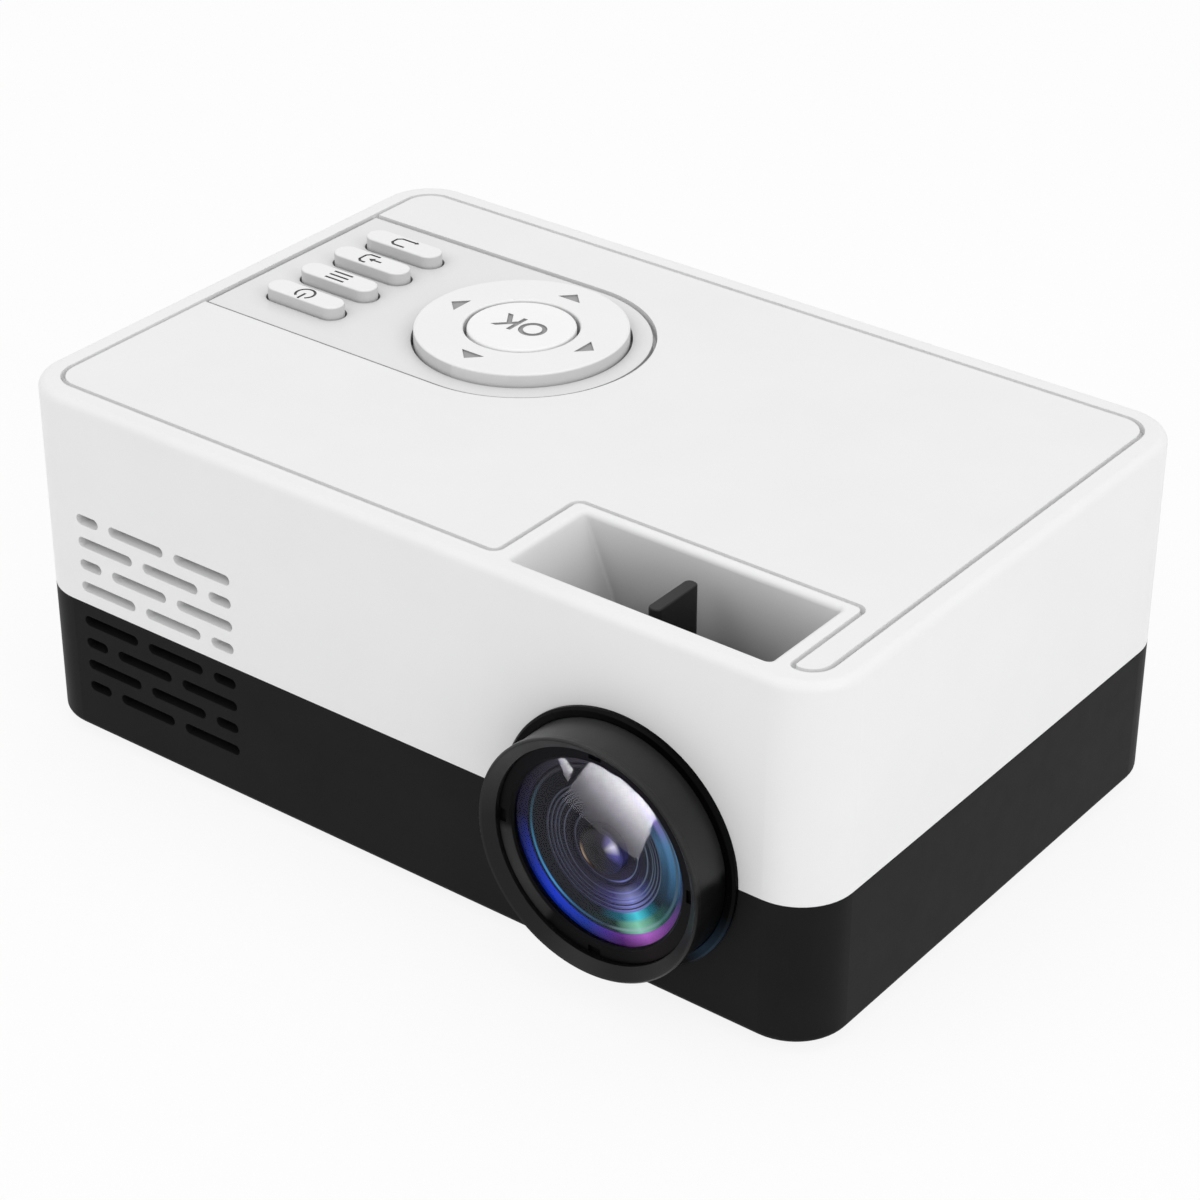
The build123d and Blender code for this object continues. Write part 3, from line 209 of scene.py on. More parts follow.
def off_axis(tree):
    """Metres from the lens axis, to the right and up."""
    x, _, z = axes(tree, own_place(tree))
    return maths(tree, "SUBTRACT", x, lens_x * MM), maths(tree, "SUBTRACT", z, lens_z * MM)


def axis_radius(tree):
    """Millimetres from the lens axis."""
    across, up = off_axis(tree)
    squares = [maths(tree, "MULTIPLY", side, side) for side in (across, up)]
    return in_mm(tree, maths(tree, "SQRT", maths(tree, "ADD", *squares)))


def axis_turn(tree):
    """The turn round the lens axis: 0 left, 0.25 below, 0.5 right, 0.75 above."""
    across, up = off_axis(tree)
    angle = maths(tree, "ARCTAN2", up, across)
    return maths(tree, "DIVIDE", maths(tree, "ADD", angle, math.pi), 2 * math.pi)


def domed_normal(tree, apex, radius):
    """The exact normal of a dome that bulges to the front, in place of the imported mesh's."""
    away = tree.nodes.new("ShaderNodeVectorMath")
    away.operation = "SUBTRACT"
    away.inputs[1].default_value = (apex[0], apex[1] + radius, apex[2])
    tree.links.new(own_place(tree), away.inputs[0])
    turned = tree.nodes.new("ShaderNodeVectorTransform")
    turned.vector_type = "NORMAL"
    turned.convert_from = "OBJECT"
    turned.convert_to = "WORLD"
    tree.links.new(away.outputs["Vector"], turned.inputs["Vector"])
    return turned.outputs["Vector"]


# Materials

def opened(material):
    """A material's tree and its principled shader."""
    tree = material.node_tree
    return tree, tree.nodes["Principled BSDF"]


def new_material(name):
    """A material with a principled shader: the material, its tree and the shader."""
    material = bpy.data.materials.new(name)
    material.use_nodes = True
    return (material, *opened(material))


def recoloured(material, colour):
    """The material with its base colour worked over by a function of its tree and that colour."""
    tree, shader = opened(material)
    base = shader.inputs["Base Color"]
    tree.links.new(colour(tree, base.links[0].from_socket), base)
    return material


def roughened(tree, shader, factor, low, high):
    """Roughness that goes from low to high with the factor."""
    tree.links.new(between(tree, factor, low, high), shader.inputs["Roughness"])


def shaded(tree, colour, depth):
    """The colour with painted shade: darker in grooves and corners that are narrower than the
    reach.
    """
    reach = 3 * MM
    near = tree.nodes.new("ShaderNodeAmbientOcclusion")
    near.samples = 8
    near.inputs["Distance"].default_value = reach
    shade = ramp(tree, near.outputs["AO"], [(0.2, grey(1 - depth)), (0.95, grey(1.0))])
    return mixed(tree, 1.0, colour, shade, "MULTIPLY")


def painted_side_shade(tree, top):
    """A key's moulded walls, with painted shade that makes them darker than its top."""
    wall_share = 0.68
    facing = tree.nodes.new("ShaderNodeNewGeometry")
    upright = maths(tree, "ABSOLUTE", axes(tree, facing.outputs["Normal"])[2])
    shade = ramp(tree, upright, [(0.15, grey(wall_share)), (0.8, grey(1.0))])
    return mixed(tree, 1.0, top, shade, "MULTIPLY")


def shaded_well(tree, shell):
    """The housing's white, with painted shade on the focus well's walls, darker towards its floor.
    """
    low_share, high_share = 0.48, 0.90
    middle, height = 44.0, 11.0
    x, y, z = [in_mm(tree, part) for part in axes(tree, own_place(tree))]
    in_plan = [within(tree, x, *well_x, width=0.4), within(tree, y, *well_y, width=0.4)]
    share = maths(tree, "MULTIPLY", *in_plan)
    share = maths(tree, "MULTIPLY", share, within(tree, z, *well_z, width=0.8))
    rise = beyond(tree, z, middle, width=height)
    shade = ramp(tree, rise, [(0.0, grey(low_share)), (1.0, grey(high_share))])
    return mixed(tree, share, shell, shade, "MULTIPLY")


def plastic(name, colour, roughness, specular, grain_scale=2600.0, grain_depth=0.00002,
            mottle=0.02, edge_r=0.00012, painted_shade_depth=0.0):
    """Moulded plastic: fine grain, edges very slightly rounded, a faint mottle and, with a shade
    depth given, painted shade in its corners."""
    material, tree, shader = new_material(name)
    dark = tuple(c * (1 - mottle) for c in colour)
    light = tuple(min(1.0, c * (1 + mottle)) for c in colour)
    tone = ramp(tree, noise(tree, 90.0, detail=4.0), [(0.3, dark), (0.7, light)])
    if painted_shade_depth:
        tone = shaded(tree, tone, painted_shade_depth)
    tree.links.new(tone, shader.inputs["Base Color"])
    roughened(tree, shader, noise(tree, 340.0, detail=3.0), roughness - 0.04, roughness + 0.04)
    shader.inputs["Specular IOR Level"].default_value = specular
    rounded = None
    if edge_r:
        bevel = tree.nodes.new("ShaderNodeBevel")
        bevel.samples = 4
        bevel.inputs["Radius"].default_value = edge_r
        rounded = bevel.outputs["Normal"]
    grain = noise(tree, grain_scale, detail=3.0, roughness=0.6)
    bumped(tree, shader, grain, strength=0.35, distance=grain_depth, under=rounded)
    return material


def metal(name, colour, roughness, stretch=(1.0, 1.0, 1.0)):
    """Metal with fine lines along the axis whose stretch is least."""
    material, tree, shader = new_material(name)
    mapping = tree.nodes.new("ShaderNodeMapping")
    mapping.inputs["Scale"].default_value = stretch
    tree.links.new(own_place(tree), mapping.inputs["Vector"])
    texture = tree.nodes.new("ShaderNodeTexNoise")
    texture.inputs["Scale"].default_value = 1500.0
    texture.inputs["Detail"].default_value = 4.0
    tree.links.new(mapping.outputs["Vector"], texture.inputs["Vector"])
    lines = texture.outputs["Fac"]
    dark = tuple(c * 0.85 for c in colour)
    tree.links.new(ramp(tree, lines, [(0.3, dark), (0.7, colour)]), shader.inputs["Base Color"])
    roughened(tree, shader, lines, roughness - 0.07, roughness + 0.07)
    shader.inputs["Metallic"].default_value = 1.0
    bumped(tree, shader, lines, strength=0.2, distance=0.00001)
    return material


def threaded(name, colour):
    """Turned brass with the fine turns of a thread."""
    material = metal(name, colour, 0.28)
    tree, shader = opened(material)
    wave = tree.nodes.new("ShaderNodeTexWave")
    wave.bands_direction = "Z"
    wave.inputs["Scale"].default_value = 250.0
    tree.links.new(own_place(tree), wave.inputs["Vector"])
    bumped(tree, shader, wave.outputs["Fac"], strength=0.6, distance=0.0002)
    return material


def glass(name, tint, gloss_colour, index, roughness=0.01, dome=None):
    """A thin lens: what is behind it shows through, and its front mirrors by Fresnel."""
    material, tree, shader = new_material(name)
    tree.nodes.remove(shader)
    through = tree.nodes.new("ShaderNodeBsdfTransparent")
    darker = tuple(c * 0.97 for c in tint)
    smear = ramp(tree, noise(tree, 45.0, detail=3.0), [(0.35, tint), (0.75, darker)])
    tree.links.new(smear, through.inputs["Color"])
    gloss = tree.nodes.new("ShaderNodeBsdfGlossy")
    gloss.inputs["Color"].default_value = (*gloss_colour, 1.0)
    roughened(tree, gloss, noise(tree, 200.0), roughness, roughness * 2.0)
    if dome:
        tree.links.new(domed_normal(tree, *dome), gloss.inputs["Normal"])
    fresnel = tree.nodes.new("ShaderNodeFresnel")
    fresnel.inputs["IOR"].default_value = index
    side = tree.nodes.new("ShaderNodeNewGeometry")
    front = maths(tree, "SUBTRACT", 1.0, side.outputs["Backfacing"])
    share = maths(tree, "MULTIPLY", fresnel.outputs["Fac"], front)
    lens = mixed_shaders(tree, share, through.outputs["BSDF"], gloss.outputs["BSDF"])
    tree.links.new(lens, tree.nodes["Material Output"].inputs["Surface"])
    return material


# The rings behind the glass: the colours of painted reflections on each band along the turn round
# the lens axis
ring_stops = {
    "outer": [
        (0.0, (0.01, 0.01, 0.05)), (0.08, (0.01, 0.04, 0.45)), (0.15, (0.005, 0.06, 0.90)),
        (0.22, (0.01, 0.05, 0.45)), (0.29, (0.16, 0.03, 0.30)), (0.345, (0.70, 0.20, 0.85)),
        (0.40, (0.25, 0.07, 0.38)), (0.47, (0.03, 0.06, 0.14)), (0.56, (0.03, 0.10, 0.22)),
        (0.63, (0.20, 0.13, 0.40)), (0.70, (0.09, 0.07, 0.12)), (0.80, (0.05, 0.045, 0.06)),
        (0.90, (0.025, 0.022, 0.035)), (1.0, (0.01, 0.01, 0.05)),
    ],
    "green": [
        (0.0, (0.006, 0.008, 0.012)), (0.20, (0.006, 0.008, 0.012)), (0.28, (0.01, 0.04, 0.03)),
        (0.335, (0.34, 0.90, 0.60)), (0.39, (0.03, 0.14, 0.10)), (0.44, (0.01, 0.03, 0.05)),
        (0.52, (0.06, 0.20, 0.36)), (0.57, (0.11, 0.28, 0.48)), (0.62, (0.26, 0.20, 0.55)),
        (0.70, (0.02, 0.02, 0.03)), (0.82, (0.008, 0.008, 0.010)), (1.0, (0.006, 0.008, 0.012)),
    ],
    "teal": [
        (0.0, (0.006, 0.007, 0.010)), (0.24, (0.006, 0.010, 0.016)), (0.30, (0.01, 0.16, 0.22)),
        (0.345, (0.10, 0.90, 1.0)), (0.385, (0.01, 0.20, 0.26)), (0.42, (0.008, 0.02, 0.03)),
        (0.50, (0.025, 0.07, 0.12)), (0.57, (0.06, 0.17, 0.29)), (0.64, (0.04, 0.04, 0.08)),
        (0.72, (0.03, 0.03, 0.035)), (0.85, (0.006, 0.006, 0.008)), (1.0, (0.006, 0.007, 0.010)),
    ],
    "glow": [
        (0.0, (0.012, 0.012, 0.018)), (0.20, (0.015, 0.015, 0.03)), (0.28, (0.08, 0.07, 0.30)),
        (0.345, (0.50, 0.54, 1.0)), (0.40, (0.07, 0.09, 0.32)), (0.45, (0.015, 0.02, 0.035)),
        (0.55, (0.02, 0.03, 0.04)), (0.66, (0.05, 0.055, 0.065)), (0.78, (0.035, 0.035, 0.04)),
        (0.92, (0.010, 0.010, 0.012)), (1.0, (0.012, 0.012, 0.018)),
    ],
    "hub": [
        (0.0, (0.012, 0.012, 0.018)), (0.30, (0.03, 0.027, 0.05)), (0.37, (0.035, 0.03, 0.07)),
        (0.50, (0.015, 0.015, 0.025)), (0.75, (0.020, 0.020, 0.022)),
        (1.0, (0.012, 0.012, 0.018)),
    ],
    "line": [
        (0.0, (0.03, 0.10, 0.14)), (0.06, (0.05, 0.28, 0.50)), (0.13, (0.08, 0.45, 0.95)),
        (0.19, (0.03, 0.16, 0.32)), (0.26, (0.05, 0.07, 0.10)), (0.335, (0.50, 0.85, 0.75)),
        (0.40, (0.06, 0.20, 0.18)), (0.46, (0.08, 0.15, 0.20)), (0.75, (0.05, 0.05, 0.06)),
        (0.90, (0.04, 0.04, 0.05)), (1.0, (0.03, 0.10, 0.14)),
    ],
    "edge": [
        (0.0, (0.09, 0.10, 0.13)), (0.25, (0.07, 0.07, 0.13)), (0.34, (0.30, 0.33, 0.80)),
        (0.42, (0.13, 0.18, 0.25)), (0.60, (0.12, 0.16, 0.20)), (0.80, (0.07, 0.075, 0.09)),
        (1.0, (0.10, 0.11, 0.15)),
    ],
    "gap": [(0.0, (0.003, 0.003, 0.004)), (0.36, (0.02, 0.02, 0.05)), (1.0, (0.003, 0.003, 0.004))],
}
# Radii of the rings in millimetres. First where each colour of painted reflection starts and how
# wide its soft edge is.
glow_from, teal_from, green_from, outer_from = (6.4, 2.6), (8.55, 0.08), (9.7, 0.5), (11.38, 0.08)
# Then the dark gaps and the bright line of painted highlight, from and to, and the thin edges of
# painted highlight with half their width
gap_bands = ((3.0, 3.5), (4.8, 5.3), (7.55, 7.75), (8.05, 8.25))
line_band = (10.7, 11.05)
edge_radii, edge_half = (4.66, 6.2, 7.00, 7.42, 7.92, 8.42), 0.09


def rings_painted_reflections():
    """The stepped rings behind the glass, with painted reflections in colours along the turn round
    the lens axis.
    """
    material, tree, shader = new_material("rings_painted_reflections")
    radius, turn = axis_radius(tree), axis_turn(tree)
    shown = {name: ramp(tree, turn, stops) for name, stops in ring_stops.items()}
    colour = mixed(tree, beyond(tree, radius, *glow_from), shown["hub"], shown["glow"])
    colour = mixed(tree, beyond(tree, radius, *teal_from), colour, shown["teal"])
    colour = mixed(tree, beyond(tree, radius, *green_from), colour, shown["green"])
    for start, end in gap_bands:
        band = within(tree, radius, start, end, width=0.12)
        colour = mixed(tree, band, colour, shown["gap"])
    for ring in edge_radii:
        band = within(tree, radius, ring - edge_half, ring + edge_half, width=0.12)
        colour = mixed(tree, band, colour, shown["edge"])
    colour = mixed(tree, within(tree, radius, *line_band, width=0.22), colour, shown["line"])
    colour = mixed(tree, beyond(tree, radius, *outer_from), colour, shown["outer"])
    tree.links.new(colour, shader.inputs["Base Color"])
    roughened(tree, shader, noise(tree, 300.0), low=0.30, high=0.42)
    shader.inputs["Specular IOR Level"].default_value = 0.06
    wave_per_mm = 7.0    # radians
    turning_marks = maths(tree, "SINE", maths(tree, "MULTIPLY", radius, wave_per_mm))
    bumped(tree, shader, turning_marks, strength=0.12, distance=0.00003)
    return material


def dark_bulb():
    """The inner lens: a near-black ball with a painted violet-white highlight on its right and a
    painted warm glint on its rim.
    """
    material, tree, shader = new_material("dark_bulb")
    radius, turn = axis_radius(tree), axis_turn(tree)
    # Painted warm glint on the lower left of the rim
    warm_glint = ramp(tree, turn, [
        (0.0, (0.03, 0.022, 0.016)), (0.05, (0.40, 0.26, 0.15)), (0.10, (0.60, 0.45, 0.30)),
        (0.16, (0.10, 0.055, 0.03)), (0.22, (0.008, 0.008, 0.012)), (0.42, (0.02, 0.02, 0.08)),
        (0.50, (0.05, 0.05, 0.22)), (0.62, (0.01, 0.01, 0.02)), (0.80, grey(0.004)),
        (1.0, (0.02, 0.015, 0.012)),
    ])
    # Painted highlight, violet to white, on the right
    body = ramp(tree, turn, [
        (0.0, (0.020, 0.019, 0.019)), (0.25, (0.008, 0.008, 0.009)), (0.44, (0.02, 0.02, 0.06)),
        (0.52, (0.12, 0.11, 0.42)), (0.60, (0.92, 0.90, 1.0)), (0.65, (0.22, 0.20, 0.45)),
        (0.72, (0.05, 0.045, 0.06)), (0.85, (0.035, 0.033, 0.033)), (1.0, (0.020, 0.019, 0.019)),
    ])
    core = ramp(tree, turn, [(0.0, grey(0.012)), (0.6, (0.03, 0.03, 0.035)), (1.0, grey(0.012))])
    core_radius, rim_radius = 1.5, 2.8
    colour = mixed(tree, beyond(tree, radius, core_radius, width=1.3), core, body)
    colour = mixed(tree, beyond(tree, radius, rim_radius, width=0.5), colour, warm_glint)
    tree.links.new(colour, shader.inputs["Base Color"])
    roughened(tree, shader, noise(tree, 500.0), low=0.10, high=0.16)
    shader.inputs["Specular IOR Level"].default_value = 0.08
    return material


def barrel_colour(tree, _):
    """The barrel: its side has painted light, lighter above, and a painted black reflection below,
    and its front lip is matt, with painted light that is lightest on the left.
    """
    turn = axis_turn(tree)
    # Painted light above and a painted black reflection below, round the lens axis
    side = ramp(tree, turn, [
        (0.0, grey(0.004)), (0.518, (0.0012, 0.0012, 0.0014)), (0.526, (0.019, 0.019, 0.0195)),
        (0.62, (0.016, 0.016, 0.0165)), (0.72, (0.026, 0.026, 0.0265)),
        (0.82, (0.046, 0.046, 0.0465)), (0.92, grey(0.020)), (1.0, grey(0.004)),
    ])
    # Painted light on the lip, lightest on the left and darkest on the right
    lip = ramp(tree, turn, [
        (0.0, grey(0.014)), (0.15, grey(0.010)), (0.50, (0.006, 0.006, 0.0065)),
        (0.75, grey(0.010)), (1.0, grey(0.014)),
    ])
    along = in_mm(tree, axes(tree, own_place(tree))[1])
    return mixed(tree, beyond(tree, along, barrel_lip_y, width=0.15), lip, side)


def retainer_colour(tree, _):
    """The retaining ring: black, with a painted reflection on its flat rim on the left."""
    flat_rim = (12.75, 14.4)
    turn = axis_turn(tree)
    rim_reflection = ramp(tree, turn, [
        (0.0, grey(0.002)), (0.012, grey(0.006)), (0.022, grey(0.030)), (0.09, grey(0.042)),
        (0.160, grey(0.026)), (0.170, grey(0.003)), (0.30, grey(0.003)),
        (0.36, (0.010, 0.008, 0.008)), (0.5, (0.003, 0.003, 0.004)), (0.7, (0.004, 0.003, 0.006)),
        (1.0, grey(0.002)),
    ])
    dark = ramp(tree, turn, [
        (0.0, grey(0.0015)), (0.6, (0.004, 0.003, 0.006)), (1.0, grey(0.0015)),
    ])
    return mixed(tree, within(tree, axis_radius(tree), *flat_rim, width=0.1), dark, rim_reflection)


def trim_colour(tree, _):
    """The ring on the housing: black, with a faint painted blue glint low on its right and a
    fainter painted sheen above, towards the left.
    """
    return ramp(tree, axis_turn(tree), [
        (0.0, grey(0.0015)), (0.36, grey(0.0015)), (0.395, (0.012, 0.030, 0.055)),
        (0.43, (0.006, 0.014, 0.025)), (0.46, grey(0.0015)), (0.70, grey(0.0015)),
        (0.80, grey(0.006)), (0.90, grey(0.0015)), (1.0, grey(0.0015)),
    ])


# The numbers after a plastic's colour are its roughness and its specular level, after a metal's
# its roughness, and after a glass's two colours its refractive index
panel_white = plastic("white_panel", grey(0.86), 0.40, 0.35, mottle=0.008)
# The housing's white has painted shade inside the focus well
shell_white = recoloured(
    plastic("white_shell", grey(0.87), 0.40, 0.35, mottle=0.008), shaded_well)
# The keypad plate has painted shadow round the keys and painted shade in its grooves
keypad_white = plastic("white_keypad", grey(0.80), 0.36, 0.4, mottle=0.008, painted_shade_depth=0.45)
# The keys have painted shade on their upright walls
key_white = recoloured(
    plastic("white_keys", grey(0.88), 0.42, 0.35, grain_scale=3200.0, mottle=0.008), painted_side_shade)
centre_white = plastic("white_centre", grey(0.93), 0.42, 0.35, grain_scale=3200.0, mottle=0.006)
shell_black = plastic("black_shell", (0.0108, 0.0108, 0.0112), 0.48, 0.05, mottle=0.08)
lever_black = plastic("black_lever", grey(0.006), 0.40, 0.26, mottle=0.08, edge_r=0.00006)
inside_black = plastic("black_inside", (0.012, 0.012, 0.013), 0.55, 0.3, mottle=0.10)
socket_black = plastic("black_socket", (0.014, 0.014, 0.015), 0.38, 0.4, mottle=0.06)
rubber = plastic("black_rubber", grey(0.020), 0.82, 0.2,
                 grain_scale=1400.0, grain_depth=0.00006, mottle=0.15)
infrared = plastic("infrared_window", (0.020, 0.003, 0.004), 0.10, 0.5,
                   grain_depth=0.000003, mottle=0.05)
board_green = plastic("board_green", (0.010, 0.085, 0.035), 0.35, 0.5, mottle=0.18)
board_white = plastic("board_white", (0.72, 0.71, 0.66), 0.40, 0.4, mottle=0.05)
display_dark = plastic("display_dark", (0.02, 0.022, 0.026), 0.10, 0.5,
                       grain_depth=0.000002, mottle=0.05)
steel = metal("plated_steel", (0.62, 0.62, 0.64), 0.28, stretch=(1.0, 6.0, 1.0))
aluminium = metal("extruded_aluminium", (0.68, 0.69, 0.70), 0.36, stretch=(6.0, 6.0, 0.4))
brass = threaded("turned_brass", (0.78, 0.56, 0.24))
lens_glass = glass("coated_glass", (0.97, 0.97, 0.99), (0.95, 0.92, 1.0), 1.14,
                   roughness=0.02, dome=(dome_apex, dome_radius))
plain_glass = glass("plain_glass", (0.90, 0.93, 0.94), (0.95, 0.97, 1.0), 1.5)
icon_grey = plastic("legend_dark", grey(0.15), 0.6, 0.3, mottle=0.05, edge_r=0.0)
letter_grey = plastic("legend_light", grey(0.36), 0.6, 0.3, mottle=0.05, edge_r=0.0)
barrel_black = recoloured(
    plastic("black_barrel", grey(0.02), 0.36, 0.22, grain_depth=0.000006), barrel_colour)
retainer_black = recoloured(
    plastic("black_retainer", grey(0.003), 0.42, 0.05, grain_depth=0.000004), retainer_colour)
trim_black = recoloured(
    plastic("black_trim", grey(0.0015), 0.28, 0.035, grain_depth=0.000003), trim_colour)

dressed = {
    shell_white: ["upper_housing"],
    panel_white: ["top_panel"],
    keypad_white: ["keypad_plate"],
    key_white: [
        "power_key", "menu_key", "source_key", "back_key", "nav_ring", "nav_rocker", "nav_seat",
    ],
    centre_white: ["ok_key"],
    shell_black: ["lower_housing"],
    barrel_black: ["lens_barrel"],
    retainer_black: ["glass_retainer"],
    trim_black: ["lens_trim_ring"],
    lever_black: ["focus_lever"],
    inside_black: [
        "lens_holder", "engine_case", "engine_lid", "fan_frame", "fan_rotor", "speaker",
        "key_switches",
    ],
    socket_black: ["power_socket", "av_jack"],
    rubber: ["rubber_feet", "friction_ring"],
    infrared: ["ir_window"],
    board_green: ["main_board", "key_board"],
    board_white: ["led_module"],
    display_dark: ["lcd_panel"],
    steel: ["hdmi_port", "usb_port", "card_slot", "housing_screws"],
    aluminium: ["heat_sink"],
    brass: ["tripod_insert"],
    lens_glass: ["front_glass"],
    plain_glass: ["rear_lens", "condenser_lens", "fresnel_lens"],
    rings_painted_reflections(): ["lens_baffle"],
    dark_bulb(): ["inner_lens"],
}
for material, names in dressed.items():
    for name in names:
        nodes[name].data.materials.clear()
        nodes[name].data.materials.append(material)


# Signs sunk into the keys, drawn in millimetres

def placed(name, data):
    """An object of that name and data, in the scene."""
    made = bpy.data.objects.new(name, data)
    bpy.context.scene.collection.objects.link(made)
    return made


def prism(bm, outline, z0, z1):
    """A closed prism over an outline of points that go round once."""
    low = [bm.verts.new((x * MM, y * MM, z0 * MM)) for x, y in outline]
    high = [bm.verts.new((x * MM, y * MM, z1 * MM)) for x, y in outline]
    bm.faces.new(list(reversed(low)))
    bm.faces.new(high)
    for k in range(len(outline)):
        n = (k + 1) % len(outline)
        bm.faces.new((low[k], low[n], high[n], high[k]))


def ribbon(points):
    """The outline of a line of the stroke's width along the points, with mitred corners."""
    left, right = [], []
    for k, here in enumerate(points):
        before = Vector(points[max(k - 1, 0)])
        after = Vector(points[min(k + 1, len(points) - 1)])
        here = Vector(here)
        d1 = (here - before).normalized() if k > 0 else (after - here).normalized()
        d2 = (after - here).normalized() if k < len(points) - 1 else d1
        n1, n2 = Vector((-d1.y, d1.x)), Vector((-d2.y, d2.x))
        mitre = (n1 + n2).normalized()
        reach = stroke / 2 / max(0.4, mitre.dot(n1))
        left.append(tuple(here + mitre * reach))
        right.append(tuple(here - mitre * reach))
    return left + right[::-1]


def arc(x, y, radius, start, end, steps):
    """Points of an arc between two angles in degrees."""
    angles = [math.radians(start + (end - start) * k / steps) for k in range(steps + 1)]
    return [(x + radius * math.cos(a), y + radius * math.sin(a)) for a in angles]


def on_pad(points, angle):
    """Points turned about the origin by an angle in degrees, then moved to the pad's centre."""
    c, s = math.cos(math.radians(angle)), math.sin(math.radians(angle))
    return [(pad_x + px * c - py * s, pad_y + px * s + py * c) for px, py in points]


stroke = 0.36
sign_depth, cutter_over = 0.22, 0.4
sign_left, sign_right = -50.1, -46.8
menu_y, menu_pitch = 5.68, 1.0

# The two letters on the centre key, side by side on a line that starts at the O's left
letter_height = 3.9
o_outer, o_inner = 1.95, 1.30
k_start, half_word = 4.3, 3.8
letter_k = [
    (0, 0), (0.65, 0), (0.65, 1.25), (1.25, 1.85), (2.45, 0), (3.3, 0), (1.75, 2.35),
    (3.3, letter_height), (2.45, letter_height), (0.65, 2.15), (0.65, letter_height),
    (0, letter_height),
]
triangle = [(10.2, -1.85), (10.2, 1.85), (12.1, 0.0)]

signs = {
    "power_key": [
        ribbon(arc(key_x, -1.18, 1.35, -55, 235, 26)),
        ribbon([(key_x, -1.1), (key_x, -2.75)]),
    ],
    "menu_key": [
        ribbon([(sign_left, menu_y + dy), (sign_right, menu_y + dy)])
        for dy in (-menu_pitch, 0.0, menu_pitch)
    ],
    "source_key": [
        ribbon([
            (-47.9, 13.75), (-49.6, 13.75), (sign_left, 13.25),
            (sign_left, 11.85), (-49.6, 11.35), (-48.7, 11.35),
        ]),
        [
            (-49.0, 12.55), (-48.1, 13.1), (-48.1, 12.73), (sign_right, 12.73),
            (sign_right, 12.37), (-48.1, 12.37), (-48.1, 12.0),
        ],
    ],
    "back_key": [
        ribbon([
            (-46.9, 20.4), (-49.5, 20.4), (sign_left, 19.9),
            (sign_left, 18.8), (-49.5, 18.34), (-47.6, 18.34),
        ]),
        [(-46.55, 20.4), (-47.1, 20.8), (-47.1, 20.0)],
    ],
    "ok_key": [on_pad([(x + k_start - half_word, y - o_outer) for x, y in letter_k], 180)],
    "nav_ring": [on_pad(triangle, 90 * quarter) for quarter in range(4)],
}


def letter_o(bm, z0, z1):
    """A round letter as one closed tube."""
    steps = 40
    rings = []
    for r, z in ((o_outer, z0), (o_outer, z1), (o_inner, z1), (o_inner, z0)):
        circle = arc(o_outer - half_word, 0, r, 0, 360 - 360 / steps, steps - 1)
        rings.append([bm.verts.new((x * MM, y * MM, z * MM)) for x, y in on_pad(circle, 180)])
    for a, b in ((0, 1), (1, 2), (2, 3), (3, 0)):
        for k in range(steps):
            n = (k + 1) % steps
            bm.faces.new((rings[a][k], rings[a][n], rings[b][n], rings[b][k]))


def sink_sign(name, outlines):
    """Cuts a node's signs into its top with a modifier; the node's own mesh stays as it is."""
    mesh = bpy.data.meshes.new("cut_" + name)
    bm = bmesh.new()
    for outline in outlines:
        prism(bm, outline, key_top - sign_depth, key_top + cutter_over)
    if name == "ok_key":
        letter_o(bm, key_top - sign_depth, key_top + cutter_over)
    bmesh.ops.recalc_face_normals(bm, faces=bm.faces)
    bm.to_mesh(mesh)
    bm.free()
    mesh.materials.append(letter_grey if name in ("ok_key", "nav_ring") else icon_grey)
    cutter = placed("cut_" + name, mesh)
    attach(cutter, nodes[name]["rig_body"])
    cutter.hide_render = True
    cutter.display_type = "WIRE"
    cut = nodes[name].modifiers.new("signs", "BOOLEAN")
    cut.operation = "DIFFERENCE"
    cut.object = cutter
    cut.solver = "EXACT"
    cut.use_self = True
    cut.material_mode = "TRANSFER"


for name, outlines in signs.items():
    sink_sign(name, outlines)


# Floor, lamps and world

def stage_material():
    """A pale floor that is nearly white to the camera, and keeps some of the object's shadow."""
    glow_share = 0.88
    material, tree, shader = new_material("floor_white")
    tree.nodes.remove(shader)
    diffuse = tree.nodes.new("ShaderNodeBsdfDiffuse")
    diffuse.inputs["Color"].default_value = (0.90, 0.90, 0.90, 1.0)
    glow = tree.nodes.new("ShaderNodeEmission")
    glow.inputs["Color"].default_value = (1.0, 1.0, 1.0, 1.0)
    glow.inputs["Strength"].default_value = 1.0
    share = maths(tree, "MULTIPLY", seen_directly(tree), glow_share)
    surface = mixed_shaders(tree, share, diffuse.outputs["BSDF"], glow.outputs["Emission"])
    tree.links.new(surface, tree.nodes["Material Output"].inputs["Surface"])
    return material


floor_z = cad_box[0].z - 0.02 * MM    # just under the feet, so that no two faces share a plane
floor_half = 4.0
quarters = ((-1, -1), (1, -1), (1, 1), (-1, 1))
corners = [(x * floor_half, y * floor_half, floor_z) for x, y in quarters]
mesh = bpy.data.meshes.new("floor")
mesh.from_pydata(corners, [], [(0, 1, 2, 3)])
mesh.materials.append(stage_material())
floor = placed("floor", mesh)


def area_light(name, size, power):
    """The data of a rectangular lamp."""
    data = bpy.data.lights.new(name, "AREA")
    data.shape = "RECTANGLE"
    data.size, data.size_y = size
    data.energy = power
    return data


def lamp(name, place, size, power):
    """A soft square lamp that looks at the object's middle."""
    aim = Vector((0.0, 0.0, 0.025))
    made = placed(name, area_light(name, (size, size), power))
    made.location = place
    made.rotation_mode = "QUATERNION"
    made.rotation_quaternion = (aim - Vector(place)).to_track_quat("-Z", "Y")


lamp("key_lamp", (-0.35, -0.75, 0.85), size=0.7, power=1.9)
lamp("side_lamp", (0.95, -0.10, 0.45), size=0.6, power=2.1)
lamp("top_lamp", (0.0, 0.15, 1.10), size=0.9, power=1.5)

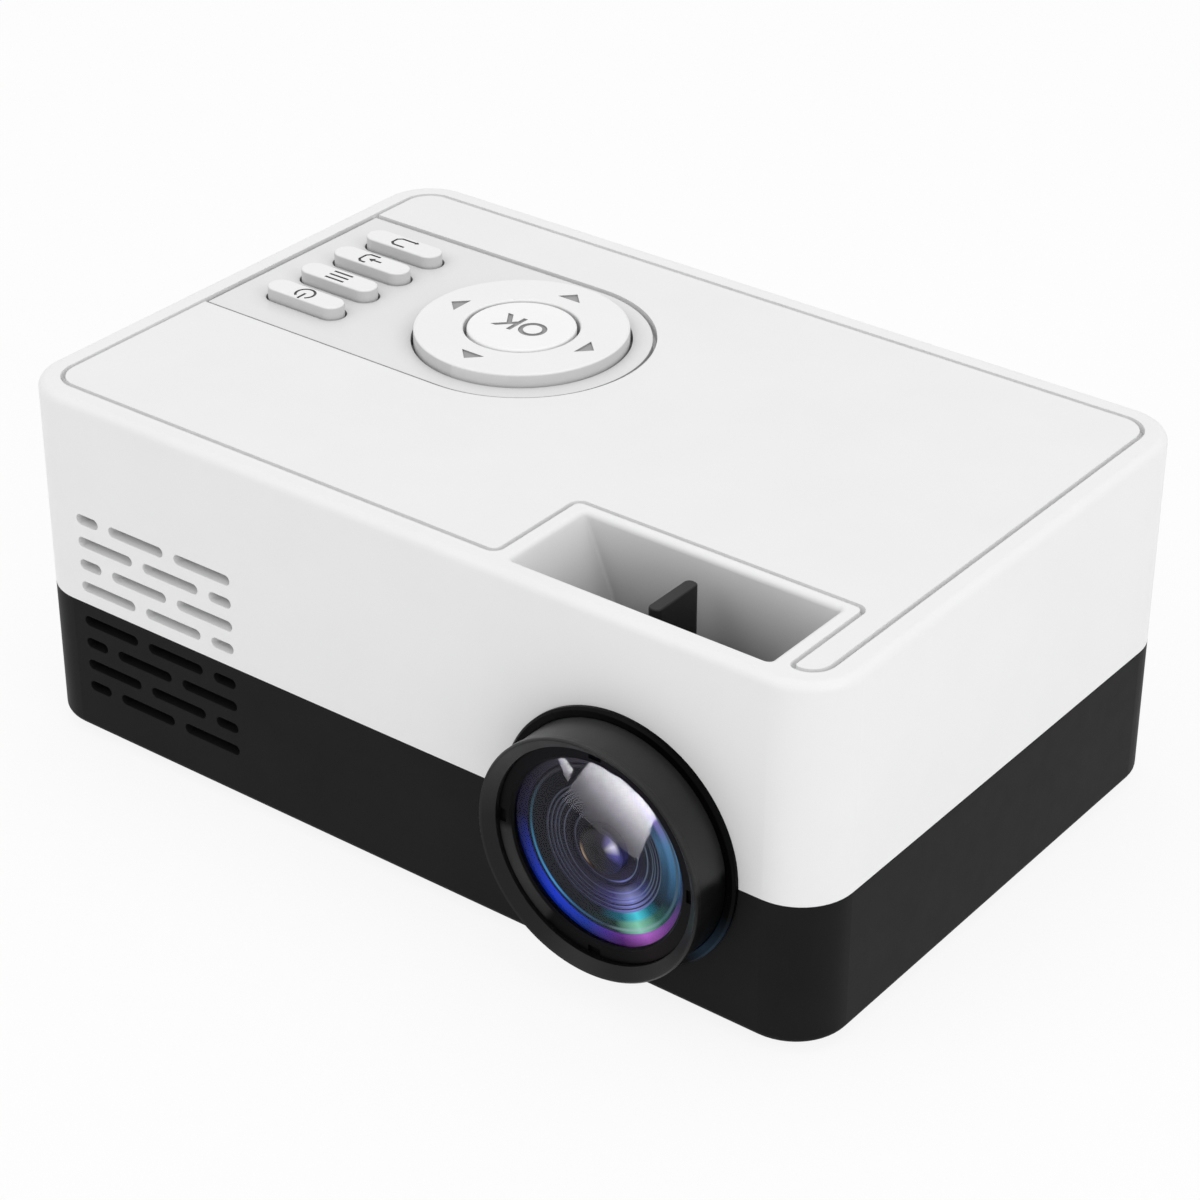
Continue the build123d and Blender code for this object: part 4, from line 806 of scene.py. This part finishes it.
# The lamps that the front glass mirrors: their directions, and how their light falls off downward
pane_across, pane_upward = (16.35, -2.75, -5.75), (3.05, -3.25, 11.85)
share_along, share_high = 0.25, 0.75
fall_power, fall_low, fall_high = 2.8, 0.03, 1.6


def glass_lamp(name, place, size, power, slope, start):
    """A small lamp that only the front glass mirrors, and that is dark left of a slanted line."""
    across = Vector(pane_across).normalized()
    upward = Vector(pane_upward)
    upward = (upward - across * upward.dot(across)).normalized()
    data = area_light(name, size, power)
    data.use_nodes = True
    tree = data.node_tree
    where = tree.nodes.new("ShaderNodeNewGeometry")
    along, high, _ = axes(tree, where.outputs["Parametric"])
    parts = [maths(tree, "MULTIPLY", along, share_along), maths(tree, "MULTIPLY", high, share_high)]
    level = maths(tree, "POWER", maths(tree, "ADD", *parts), fall_power)
    past_line = maths(tree, "SUBTRACT", along, maths(tree, "MULTIPLY", high, slope))
    kept = beyond(tree, past_line, start, width=0.004)
    strength = maths(tree, "MULTIPLY", between(tree, level, fall_low, fall_high), kept)
    tree.links.new(strength, tree.nodes["Emission"].inputs["Strength"])
    made = placed(name, data)
    made.matrix_world = Matrix((across, upward, across.cross(upward))).transposed().to_4x4()
    made.location = place
    made.visible_camera = False
    made.visible_diffuse = False
    made.visible_transmission = False
    group = bpy.data.collections.new(name + "_only")
    group.objects.link(nodes["front_glass"])
    made.light_linking.receiver_collection = group


glass_lamp("window_lamp", (0.0188, -0.0764, 0.0108), (0.0205, 0.0160),
           power=0.18, slope=0.16, start=0.0)
glass_lamp("corner_lamp", (0.0064, -0.0736, 0.0138), (0.0056, 0.0042),
           power=0.006, slope=-1.0, start=1.0)


def background(tree, strength):
    """Plain white light from all round."""
    made = tree.nodes.new("ShaderNodeBackground")
    made.inputs["Color"].default_value = (1.0, 1.0, 1.0, 1.0)
    made.inputs["Strength"].default_value = strength
    return made.outputs["Background"]


world = bpy.data.worlds.new("studio")
bpy.context.scene.world = world
world.use_nodes = True
tree = world.node_tree
tree.nodes.clear()
ambient, backdrop = background(tree, strength=0.72), background(tree, strength=1.0)
sky = mixed_shaders(tree, seen_directly(tree), ambient, backdrop)
tree.links.new(sky, tree.nodes.new("ShaderNodeOutputWorld").inputs["Surface"])

# Camera, from the fit to the photograph
azimuth, elevation, roll = math.radians(37.281), math.radians(30.750), math.radians(0.226)
camera_place = (0.229087, -0.299694, 0.244961)
flat = math.cos(elevation)
back = Vector((math.sin(azimuth) * flat, -math.cos(azimuth) * flat, math.sin(elevation)))
right = (-back).cross(Vector((0, 0, 1))).normalized()
up = right.cross(-back)
level_right = right * math.cos(roll) + up * math.sin(roll)
level_up = up * math.cos(roll) - right * math.sin(roll)
camera_data = bpy.data.cameras.new("camera")
camera_data.sensor_width = 36.0
camera_data.lens = 99.173
camera_data.clip_start = 0.01
camera_data.clip_end = 50.0
camera = placed("camera", camera_data)
turn = Matrix((level_right, level_up, back)).transposed().to_4x4()
camera.matrix_world = Matrix.Translation(camera_place) @ turn
bpy.context.scene.camera = camera
bpy.context.scene.view_settings.view_transform = "Standard"
